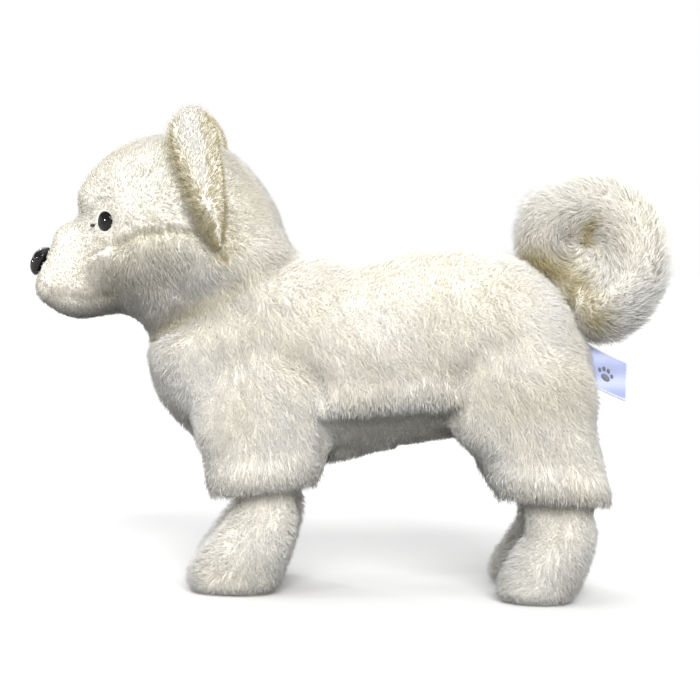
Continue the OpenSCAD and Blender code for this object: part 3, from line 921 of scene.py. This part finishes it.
def painted_shade_at(p, n):
    """Painted shade: darker, greyer pile on the undersides, the belly panel, the chin and the legs, below the hems,
    and on the short pile of the face.
    """
    head = ramp(above_neck(p), 0.0, 0.008)
    chin = head * fall(p[:, 2], NECK[2] - 0.010, NECK[2] - 0.002) * fall(p[:, 0], -0.135, -0.110)
    face = head * ramp(-fur_length(p), -0.0060, -0.0045)
    low = p[:, 2]
    # painted shade on the undersides, the lower legs and the paws
    painted_shade = 0.30 * fall(n[:, 2], -0.9, -0.1) + 0.10 * fall(low, 0.060, 0.085) + 0.22 * fall(low, 0.010, 0.035)
    # painted shadow just below each sleeve's hem
    for which, deep in (("front", 0.22), ("hind", 0.26)):
        mine = ramp(p[:, 0] * (-1 if which == "front" else 1), -0.03, 0.0)
        painted_shade = painted_shade + deep * mine * hump(low - hem_height(p, which) - 0.002, 0.009)
    return np.maximum.reduce([painted_shade, 0.50 * under_belly(p), 0.9 * chin, 0.55 * face])


def fur_pieces(name, material, slot, pile):
    """One object of strands, or several where there are too many for one. pile is what strand_mesh takes."""
    roots = pile[0]
    shares = max(1, math.ceil(len(roots) / MOST_STRANDS))
    order = np.argsort(roots[:, 0], kind="stable")
    made = []
    for i, part in enumerate(np.array_split(order, shares)):
        label = f"fur_{name}" if shares == 1 else f"fur_{name}_{i + 1}"
        piece = link(label, strand_mesh(label, *(values[part] for values in pile)), material)
        made.append(piece)
    return made


def strand_width(length):
    """Half the thickness of a strand, thicker on long pile."""
    return mix(0.120, 0.150, ramp(length, 0.004, 0.009)) * MM * 1.0


def keep_clear(roots):
    """True where a strand may stand: not under the eyes or the nose."""
    free = lengths(roots - NOSE_PLACE[0]) > 0.0092
    for centre in EYE_CENTRES:
        free &= lengths(roots - centre) > 0.0060
    return free


def cover_body(obj):
    """Skins and fur of the trunk, neck, head and legs."""
    mesh = obj.data
    centres = read(mesh.polygons, "center")
    regions = region_of(centres)
    roots, normals, faces = scattered(mesh, SPACING)
    free = keep_clear(roots) & (roots[:, 2] > ROOT_LOWEST)
    roots, normals, faces = roots[free], normals[free], faces[free]
    length = fur_length(roots)
    hang = flatness(roots)[:, None]
    wild = mix(0.28, 0.55, fall(roots[:, 2], 0.046, 0.056))[:, None]
    lo, mid, tip = grow(roots, normals, comb(roots, normals), length, flat=laid(roots), wild=wild)
    down = unit(np.array([0.06, 0.0, -1.0]) + 0.30 * normals + 0.16 * rng.normal(size=roots.shape))
    size = (length * rng.uniform(0.65, 1.15, len(roots)))[:, None]
    mid = mix(mid, roots + down * size * BEND_AT + normals * 0.0006, hang)
    tip = mix(tip, roots + down * size, hang)
    tip[:, 2] = np.maximum(tip[:, 2], TIP_LOWEST)
    mid[:, 2] = np.maximum(mid[:, 2], BEND_LOWEST)
    # painted warm shade and painted grey shade for every strand
    pile = (lo, mid, tip, normals, strand_width(length), warm_shade_and_cream(roots), painted_shade_at(roots, normals))
    for i, name in enumerate(REGIONS):
        skin = part_of(obj, regions == i, f"skin_{name}")
        attach(skin, name)
        mine = regions[faces] == i
        material, slot = (short_fur, "short_fur") if name.startswith("head") else (long_fur, "long_fur")
        for piece in fur_pieces(name, material, slot, [values[mine] for values in pile]):
            attach(piece, name)
        yield name, skin
    # cloth behind the seam between each leg and the keel, so that a swung leg shows no gap
    x, y, z = centres.T
    behind = np.zeros(len(centres), bool)
    for which, hub in HUBS.items():
        near = np.hypot(x - hub[0], z - hub[2]) < hub_radius(which) + SEAM_CLOTH_REACH
        behind |= near & (z < hub[2] + BEND_FROM) & (np.abs(y) < KEEL + SEAM_CLOTH_SPREAD)
    cloth = part_of(obj, behind, "leg_seam_cloth")
    set_points(cloth.data, points_of(cloth.data) - normals_of(cloth.data) * SEAM_CLOTH_DEPTH)
    settle(cloth, "torso", fill=BODY_FILL)
    bpy.data.objects.remove(obj)


# ---- tail

COIL_R = 0.0265
ROOT_ANGLE = math.radians(-112)
COIL = TAIL_ROOT[[0, 2]] - COIL_R * np.array([math.cos(ROOT_ANGLE), math.sin(ROOT_ANGLE)])
SIDE_TURN = (COIL + np.array([-0.0127, 0.0102]), 0.015)
TIP_TURN = (COIL + np.array([-0.0162, 0.0073]), 0.0105)


def tail_route():
    """Points along the middle of the tail, from the root to the tucked tip, and the way it runs there."""
    places = []
    for (centre, radius), first, last in (((COIL, COIL_R), -112, 96), (SIDE_TURN, 112, 220), (TIP_TURN, 232, 330)):
        angles = np.radians(np.arange(first, last + 1, 6))
        places += [(centre[0] + radius * math.cos(a), 0.0, centre[1] + radius * math.sin(a)) for a in angles]
    route = np.array(places)
    return route, unit(np.gradient(route, axis=0))


def soft_ball(name, centre, radii):
    """A closed ball of filling, stretched to the given half sizes."""
    bm = bmesh.new()
    bmesh.ops.create_icosphere(bm, subdivisions=3, radius=1.0)
    bm.transform(Matrix.Translation(centre) @ Matrix.Diagonal((*radii, 1)))
    return mesh_of(bm, name, outward=False)


def side_place(offset):
    """A place in the middle plane, from the middle of the tail's coil."""
    return (COIL[0] + offset[0] * MM, 0.0, COIL[1] + offset[1] * MM)


# Where the coils of the tail press together, from the middle of the coil in mm: place, half sizes
TAIL_FILLS = [((1.5, 1.0), (14, 10, 15)), ((-9.0, -8.0), (10, 9, 9)), ((-17.0, -11.0), (8, 8, 7)),
              ((-11.0, 9.0), (8, 8, 8)), ((-14.0, -18.0), (7, 8, 8)), ((-4.0, 13.0), (10, 10.5, 9))]
# Creases of the coil, where warm shade is painted on the pile: from and to, width, depth of colour
TAIL_SHADED_CREASES = [((-31, 1), (-11, -14), 8.5, 1.0), ((-13, -14), (2, -32), 8.0, 1.0), ((2, 20), (-6, 10), 4.4, 1.0),
              ((-1, 6), (9, -1), 2.6, 0.30), ((-14, -14), (2, -12), 4.0, 0.45)]


# painted warm shade along the creases of the tail's coil
def tail_painted_shade(p):
    tint = np.zeros(len(p))
    for start, end, wide, deep in TAIL_SHADED_CREASES:
        a, b = (np.array(side_place(o))[[0, 2]] for o in (start, end))
        away, _ = segment_distance(p[:, [0, 2]], a, b)
        tint = np.maximum(tint, deep * hump(away, wide * MM))
    return tint


def make_tail():
    fills = [soft_ball("fill", side_place(place), [r * MM for r in radii]) for place, radii in TAIL_FILLS]
    obj = union_skin("skin_tail", BODY_NODES["tail"], TAIL_VOXEL, fills)
    relaxed(obj.data, 5)
    subdivided(obj)
    mesh = obj.data
    p, n = points_of(mesh), normals_of(mesh)
    p = p - n * 0.0020
    # the bottom of the coil sags, and its top swells
    sag = ramp(COIL[1] - p[:, 2], 0.018, 0.040) * ramp(p[:, 0], TAIL_ROOT[0] - 0.004, TAIL_ROOT[0] + 0.008)
    p[:, 2] -= 4.2 * MM * sag
    p[:, 2] += 4.4 * MM * ramp(p[:, 2] - COIL[1], 0.0, 0.030)
    set_points(mesh, p)
    relaxed(mesh, 2)
    mesh.materials.append(backing)
    route, ways = tail_route()
    roots, normals, _ = scattered(mesh, SPACING)
    nearest = np.argmin(((roots[:, None] - route[None]) ** 2).sum(-1), axis=1)
    far_in = lengths(roots[:, [0, 2]] - COIL)
    length = mix(9.0, 10.0, ramp(far_in, 0.012, 0.036)) * MM
    inward = np.zeros_like(roots)
    inward[:, [0, 2]] = unit(COIL + np.array([0.002, 0.002]) - roots[:, [0, 2]])
    way = ways[nearest] + 0.25 * normals
    way = mix(way, inward + 0.5 * ways[nearest], fall(far_in, 0.008, 0.024)[:, None])
    lo, mid, tip = grow(roots, normals, way, length, wild=0.22)
    settle(obj, "tail", BODY_NODES["tail"], BODY_FILL)
    # painted shade, deeper towards the lower right of the coil
    low_right = (roots[:, 0] - COIL[0]) * 0.6 - (roots[:, 2] - COIL[1])
    painted_shade = 0.45 * ramp(low_right, -0.005, 0.045)
    pile = (lo, mid, tip, normals, strand_width(length), tail_painted_shade(roots), painted_shade)
    for piece in fur_pieces("tail", long_fur, "long_fur", pile):
        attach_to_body(piece, "tail")


# ---- ears

# painted shade over all of the ear's pile
EAR_PAINTED_SHADE = 0.5
EAR_BANDS = 24


def make_ear(side):
    sign = SIDES[side]
    nodes = BODY_NODES[f"ear_{side}"]
    obj = union_skin(f"skin_ear_{side}", nodes, EAR_VOXEL)
    relaxed(obj.data, 4)
    mesh = obj.data
    p, n = points_of(mesh), normals_of(mesh)
    low, high = p.min(0), p.max(0)
    set_points(mesh, p - n * 0.0012)
    relaxed(mesh, 1)
    mesh.materials.append(backing)
    roots, normals, _ = scattered(mesh, SPACING * 0.85)
    outward = normals[:, 1] * sign
    # distance in front of the ear's rear edge, whose line is read off the skin itself
    bins = np.linspace(low[2], high[2], EAR_BANDS + 1)
    which = np.clip(np.digitize(p[:, 2], bins) - 1, 0, EAR_BANDS - 1)
    edge = np.array([p[which == k, 0].max() for k in range(EAR_BANDS)])
    rear = np.interp(roots[:, 2], (bins[1:] + bins[:-1]) / 2, edge) - roots[:, 0]
    front = roots[:, 0] - np.interp(roots[:, 2], *np.array(EAR_FRONT).T[::-1])
    rim = fall(rear, 0.0050, 0.0095) * fall(roots[:, 2], high[2] - 0.014, high[2] - 0.004)
    lining = outward < -0.15
    length = np.where(lining, 3.6, mix(4.8, 3.8, rim)) * MM
    near_front = fall(front, 0.001, 0.006)
    length *= 1 + 0.7 * near_front
    way = np.tile((0.35, 0.0, 0.85), (len(roots), 1))
    way = steered(way, (0.85, 0.0, -0.35), fall(roots[:, 2], 0.20, 0.235))
    way = steered(way, (-0.9, -0.8 * sign, -0.2), 0.7 * near_front)
    lo, mid, tip = grow(roots, normals, way, length, every=12, lift=(52, 26), wild=0.2)
    # the warm rear edge of the ear is the lining's own colour; the warm tint near the front edge is painted shade in
    # the furrow
    stripe = rear - (tip - roots)[:, 0]
    stripe = fall(stripe, 0.0070, 0.0095) * fall(roots[:, 2], high[2] - 0.010, high[2] - 0.002)
    fold = np.clip(1.1 * stripe * rng.uniform(0.7, 1.1, len(roots)) + 0.85 * fall(front, 0.002, 0.008), 0, 1)
    settle(obj, f"ear_{side}", nodes, EAR_FILL)
    pile = (lo, mid, tip, normals, strand_width(length), fold, np.full(len(roots), EAR_PAINTED_SHADE))
    for label, mask, material, slot in ((f"ear_{side}", ~lining, short_fur, "short_fur"),
                                        (f"ear_lining_{side}", lining, ear_lining_fur, "ear_lining")):
        for piece in fur_pieces(label, material, slot, [values[mask] for values in pile]):
            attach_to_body(piece, f"ear_{side}")


# ---- face fittings

def circle_of(count):
    """Angles of count places round a circle."""
    return np.linspace(0, 2 * math.pi, count, endpoint=False)


def bridge(bm, lower, upper):
    """Faces between two rings of vertices, either of which may be a single point."""
    count = max(len(lower), len(upper))
    for k in range(count):
        n = (k + 1) % count
        ring = [lower[k % len(lower)], lower[n % len(lower)], upper[n % len(upper)], upper[k % len(upper)]]
        bm.faces.new(list(dict.fromkeys(ring)))


def turned(name, profile, centre, way, material, segments=48):
    """A surface of revolution about an axis: profile is a list of (radius, height)."""
    bm = bmesh.new()
    rings = []
    for radius, height in profile:
        angles = circle_of(segments if radius > 0 else 1)
        rings.append([bm.verts.new((radius * math.cos(a), radius * math.sin(a), height)) for a in angles])
    for lower, upper in zip(rings[:-1], rings[1:]):
        bridge(bm, lower, upper)
    bm.transform(Matrix.Translation(Vector(centre)) @ Vector(way).to_track_quat("Z", "Y").to_matrix().to_4x4())
    return link(name, mesh_of(bm, name), material)


def make_eye(side):
    """A domed safety eye: a rim, a low step, and the polished dome."""
    centre, way = EYE_PLACES[side]
    radius, dome = 6.5 * MM, 3.2 * MM
    steps = np.radians(np.linspace(0, 90, 18))
    profile = [(0.0, -3.0 * MM), (2.2 * MM, -3.0 * MM), (2.2 * MM, -1.6 * MM), (radius * 0.97, -1.6 * MM),
               (radius * 1.03, -1.1 * MM), (radius * 1.03, -0.5 * MM), (radius * 0.98, -0.1 * MM)]
    profile += [(radius * 0.96 * math.cos(a), dome * math.sin(a)) for a in steps[:-1]] + [(0.0, dome)]
    eye = turned(f"safety_eye_{side}", profile, centre - way * 1.3 * MM, way, eye_plastic)
    settle(eye, "head", [f"eye_{side}"])


def make_nose():
    """A moulded nose: broad above, narrowing below, with two nostrils and a groove between them."""
    centre, way = NOSE_PLACE
    steps = np.radians(np.linspace(0, 90, 22))
    profile = [(0.0, -2.5 * MM), (3.0 * MM, -2.5 * MM), (7.2 * MM, -1.4 * MM)]
    profile += [(8.0 * MM * math.cos(a), 5.4 * MM * math.sin(a)) for a in steps[:-1]] + [(0.0, 5.4 * MM)]
    nose = turned("moulded_nose", profile, (0, 0, 0), (0, 0, 1), nose_plastic, 72)
    p = points_of(nose.data)
    # local frame: +Z faces out, +X is across, +Y is up the muzzle
    up = ramp(p[:, 1], -0.008, 0.006)
    p[:, 0] *= mix(0.62, 1.06, up)
    p[:, 1] *= 0.98
    for sign in SIDES.values():
        away = np.hypot(p[:, 0] - sign * 0.0036, (p[:, 1] + 0.0010) * 1.5)
        p[:, 2] -= 2.0 * MM * hump(away, 0.0016) * (p[:, 2] > 0)
        wing = np.hypot(p[:, 0] - sign * 0.0052, p[:, 1] + 0.0004)
        p[:, 2] += 0.5 * MM * hump(wing, 0.0018) * (p[:, 2] > 0)
    groove = hump(p[:, 0], 0.0007) * fall(p[:, 1], -0.003, 0.001)
    p[:, 2] -= 0.7 * MM * groove * (p[:, 2] > 0)
    out, across = Vector(way), Vector((0, 1, 0))
    upward = out.cross(across) * (1 if out.cross(across).z > 0 else -1)
    turn = np.array([across, upward, out])
    set_points(nose.data, 1.13 * p @ turn + (centre + way * 1.3 * MM - np.array(upward) * 0.6 * MM))
    turned_outward(nose.data)
    settle(nose, "head", ["nose_button"])


# ---- woven label and soles

def label_material():
    """Satin weave: fine warp and weft ribs with slight colour drift."""
    material, tree, shader = node_material("label_satin")
    ribs = []
    for direction in ("X", "Z"):
        wave = new_node(tree, "TexWave", Scale=520.0, Distortion=0.4, Vector=object_coords(tree))
        wave.bands_direction = direction
        ribs.append(wave.outputs["Fac"])
    weave = mixed(tree, *ribs, 0.5)
    base = colour_ramp(tree, weave, [(0.2, (0.33, 0.37, 0.59)), (0.8, (0.42, 0.465, 0.68))])
    drift = colour_ramp(tree, noise_node(tree, 90.0), [(0.35, (0.93, 0.94, 0.97)), (0.7, WHITE)])
    set_inputs(tree, shader, {"Base Color": mixed(tree, base, drift, 1.0, "MULTIPLY"), "Roughness": 0.42,
                              "Normal": bump_node(tree, weave, 0.35, 0.00012), "Sheen Weight": 0.3})
    return material


def label_frame():
    """Upper seam corner of the label, its reach out of the seam, its rise to the free end, and its height."""
    points = points_of(frame["nodes"]["woven_label"].data)
    low, high = points.min(0), points.max(0)
    free = points[points[:, 0] > high[0] - 1e-5]
    sewn = points[points[:, 0] < low[0] + 1e-5]
    top, end = sewn[:, 2].max(), free[:, 2].max()
    return np.array([low[0], 0.0, top]), high[0] - low[0], end - top, free[:, 2].max() - free[:, 2].min()


LABEL_CORNER, LABEL_REACH, LABEL_RISE, LABEL_TALL = label_frame()


def label_place(u, v, lift):
    """A place on the label: u along it from the seam, v down it, both in metres, lift off its middle plane."""
    u, v = np.asarray(u, float), np.asarray(v, float)
    share = u / LABEL_REACH
    x = LABEL_CORNER[0] + u
    z = LABEL_CORNER[2] + LABEL_RISE * (share + 0.10 * share * (1 - share)) - v
    y = 0.0009 * np.sin(share * 2.6) * np.cos(v / LABEL_TALL * 2.0) + 0.0004 * np.sin(v * 420 + share * 5)
    return np.stack([x, y + lift, z], -1)


LABEL_HALF = 0.0003  # half its thickness


def label_sheet(name, us, vs, material):
    """The closed sheet of the label over a grid of (u, v) places."""
    rows, columns = len(us), len(vs)
    u, v = np.meshgrid(us, vs, indexing="ij")
    front = label_place(u, v, -LABEL_HALF).reshape(-1, 3)
    back = label_place(u, v, LABEL_HALF).reshape(-1, 3)
    faces = []
    total = rows * columns
    for i in range(rows - 1):
        for k in range(columns - 1):
            a, b, c, d = i * columns + k, (i + 1) * columns + k, (i + 1) * columns + k + 1, i * columns + k + 1
            faces += [(a, b, c, d), (total + d, total + c, total + b, total + a)]
    rim = [i * columns for i in range(rows)] + [(rows - 1) * columns + k for k in range(1, columns)]
    rim += [i * columns + columns - 1 for i in range(rows - 2, -1, -1)] + list(range(columns - 2, 0, -1))
    for a, b in zip(rim, rim[1:] + rim[:1]):
        faces.append((b, a, total + a, total + b))
    mesh = mesh_from(name, np.concatenate([front, back]), faces)
    turned_outward(mesh)
    return link(name, mesh, material)


def raised_disc(bm, u, v, wide, tall, side):
    """A small domed pad of satin stitch on one face of the label."""
    rings = []
    for share, lift in ((1.0, 0.0), (0.92, 0.00022), (0.6, 0.00034), (0.0, 0.00038)):
        turns = circle_of(20 if share else 1)
        places = label_place(u + wide * share * np.cos(turns), v + tall * share * np.sin(turns),
                             side * (0.00032 + lift))
        rings.append([bm.verts.new(p) for p in places])
    for lower, upper in zip(rings[:-1], rings[1:]):
        bridge(bm, lower, upper)
    bm.faces.new(list(reversed(rings[0])))


# Pads of the paw print, in mm: place along and down the label, half width and half height
PAW_PADS = [(14.0, 13.2, 2.5, 2.0), (10.6, 10.2, 0.95, 1.25), (13.0, 8.6, 1.0, 1.35), (15.6, 8.8, 1.0, 1.35),
            (17.6, 11.0, 0.95, 1.25)]


def make_label():
    """A folded satin label with a stitched edge, and a plain paw print in place of any mark."""
    sheet = label_sheet("label_satin", np.linspace(0, LABEL_REACH, 40), np.linspace(0, LABEL_TALL, 34),
                        label_material())
    settle(sheet, "torso", ["woven_label"])
    bm = bmesh.new()
    for side in (-1, 1):
        for pad in PAW_PADS:
            raised_disc(bm, *(size * MM for size in pad), side)
    paw_thread = thread_material("paw_thread", (0.10, 0.105, 0.13), (0.19, 0.20, 0.24))
    settle(link("label_paw_print", mesh_of(bm, "label_paw_print"), paw_thread), "torso")
    make_label_edges()


# Stitches of the label's edges, in metres: the gap from one to the next, half their length, half their thickness
STITCH_GAP, STITCH_REACH, STITCH_THICK = 0.0008, 0.00055, 0.00032


def make_label_edges():
    """Pale overlocked stitches along the two cut edges and the fold of the label."""
    stitches = []
    for v in (0.0, LABEL_TALL):
        stitches += [(u, v, 0) for u in np.arange(0.0006, LABEL_REACH, STITCH_GAP)]
    stitches += [(LABEL_REACH, v, 1) for v in np.arange(0.0006, LABEL_TALL, STITCH_GAP)]
    bm = bmesh.new()
    for u, v, on_fold in stitches:
        # a stitch loops across the edge: in v at the cut edges, in u at the fold
        across = (1, 0) if on_fold else (0, 1)
        outs = STITCH_REACH * np.cos(circle_of(8))
        loop = label_place(u + outs * across[0], v + outs * across[1], STITCH_REACH * np.sin(circle_of(8)))
        along = unit(label_place(u + 0.0001 * across[1], v + 0.0001 * across[0], 0) - label_place(u, v, 0))
        rings = []
        for place, away in zip(loop, unit(loop - loop.mean(0))):
            rings.append([bm.verts.new(place + STITCH_THICK * (math.cos(b) * away + math.sin(b) * along))
                          for b in circle_of(5)])
        for first, second in zip(rings, rings[1:] + rings[:1]):
            bridge(bm, first, second)
    edge_thread = thread_material("label_edge", (0.70, 0.73, 0.90), (0.88, 0.90, 0.98))
    settle(link("label_edge_stitches", mesh_of(bm, "label_edge_stitches"), edge_thread), "torso")


def make_sole(which, side):
    """A soft sole patch: the CAD patch with its edges rounded and its seam drawn in."""
    node = f"{which}_sole_{side}"
    obj = union_skin(f"sole_patch_{which}_{side}", [node], SOLE_VOXEL)
    relaxed(obj.data, 5)
    mesh = obj.data
    p, n = points_of(mesh), normals_of(mesh)
    low, high = p.min(0), p.max(0)
    middle, half = (low + high) / 2, (high - low) / 2
    out = np.hypot((p[:, 0] - middle[0]) / half[0], (p[:, 1] - middle[1]) / half[1])
    p[:, 2] += 0.0005 * hump(out - 0.86, 0.05) * fall(n[:, 2], -0.8, -0.2)
    p[:, 2] = np.maximum(p[:, 2], 0.0)
    set_points(mesh, p)
    mesh.materials.append(sole_cloth)
    settle(obj, f"{which}_leg_{side}", [node], SOLE_FILL)


# ---- assembly

skins = dict(cover_body(body_skin()))
REPLACED = {
    "back_left": ["torso_filling", "side_panel_left"],
    "back_right": ["side_panel_right"],
    "belly": ["belly_panel"],
    "neck_low": ["neck_filling", "neck_collar"],
    "head_left": ["head_filling", "cheek_panel_left", "head_gusset"],
    "head_right": ["cheek_panel_right", "chin_panel"],
}
for name, nodes in REPLACED.items():
    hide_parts(*nodes)
for which in HUBS:
    for side in SIDES:
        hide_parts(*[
            f"{which}_{part}_{side}" for part in ("sleeve_outer", "sleeve_inner", "paw", "filling")])
        make_sole(which, side)
make_tail()
for side in SIDES:
    make_ear(side)
    make_eye(side)
make_nose()
make_label()

CARRIED = {"washer": washer_plastic, "closing": white_thread, "face_stitches": black_thread}
for node, obj in frame["nodes"].items():
    for word, material in CARRIED.items():
        if word in node:
            obj.data.materials.clear()
            obj.data.materials.append(material)


# ---- floor, light, camera

def make_stage():
    """A pale round floor, wide enough to meet the pale surroundings out of sight."""
    bm = bmesh.new()
    bmesh.ops.create_circle(bm, cap_ends=True, radius=14.0, segments=96)
    material, tree, shader = node_material("studio_floor")
    paper = colour_ramp(tree, noise_node(tree, 3.0), [(0.3, (0.66,) * 3), (0.7, (0.68,) * 3)])
    set_inputs(tree, shader, {"Base Color": paper, "Roughness": 0.9})
    floor = link("studio_floor", mesh_of(bm, "studio_floor", outward=False), material)
    floor.visible_diffuse = False


# Surroundings from straight down (0) through the horizon (0.5) to straight up (1): place, brightness
SKY = [(0.46, 0.15), (0.485, 1.0), (0.58, 1.0), (0.66, 0.32), (0.82, 0.40), (1.0, 0.75)]
# Three small lamps for the gloss on the eyes and the nose, and what they shine at
GLOSS_PLACES = [(-0.55, -0.75, 0.75), (-0.95, -0.30, 0.35), (-0.55, 0.75, 0.75)]
GLOSS_AIM = Vector((-0.15, 0, 0.2))


def sun(name, towards, strength, soft, colour=(1, 1, 1)):
    """A very soft distant lamp that shines from the given side."""
    light = bpy.data.lights.new(name, "SUN")
    light.energy = strength
    light.angle = math.radians(soft)
    light.color = colour
    aimed(link(name, light), -Vector(towards))


def make_lights():
    """Pale surroundings, bright at the horizon and overhead, with soft lamps and three small ones for the gloss."""
    world = bpy.data.worlds.new("studio")
    bpy.context.scene.world = world
    world.use_nodes = True
    tree = world.node_tree
    split = new_node(tree, "SeparateXYZ", Vector=new_node(tree, "TexCoord").outputs["Generated"])
    height = set_inputs(tree, new_node(tree, "MapRange"), {"From Min": -1.0, "Value": split.outputs["Z"]})
    sky = colour_ramp(tree, height.outputs["Result"], [(place, (bright,) * 3) for place, bright in SKY])
    set_inputs(tree, tree.nodes["Background"], {"Color": sky, "Strength": 1.0})
    sun("key", (0.13, -1.0, 0.62), 4.1, 30, (1.0, 0.995, 0.98))
    sun("top", (0.05, -0.1, 1.0), 1.0, 60)
    sun("back", (-0.3, 0.9, 0.7), 0.9, 40)
    for i, place in enumerate(GLOSS_PLACES):
        lamp = bpy.data.lights.new(f"gloss_{i + 1}", "AREA")
        lamp.size, lamp.energy = 0.045, 1.6
        obj = link(lamp.name, lamp)
        obj.location = place
        aimed(obj, GLOSS_AIM - obj.location)


def make_camera():
    """Side view from a little above, as a standing product photo is taken."""
    distance, elevation, roll = 1.2, math.radians(3.0), math.radians(1.87)
    target = Vector((0.0026, -0.01, 0.1354))
    frame_width = 0.39375
    back = Vector((0, -math.cos(elevation), math.sin(elevation)))
    camera = bpy.data.cameras.new("camera")
    camera.sensor_width = 36
    camera.lens = 36 * distance / frame_width
    camera.clip_start, camera.clip_end = 0.05, 20
    obj = link("camera", camera)
    turn = (-back).to_track_quat("-Z", "Y").to_matrix().to_4x4()
    obj.matrix_world = Matrix.Translation(target + back * distance) @ turn @ Matrix.Rotation(roll, 4, "Z")
    bpy.context.scene.camera = obj


make_stage()
make_lights()
make_camera()
bpy.context.scene.view_settings.view_transform = "Standard"
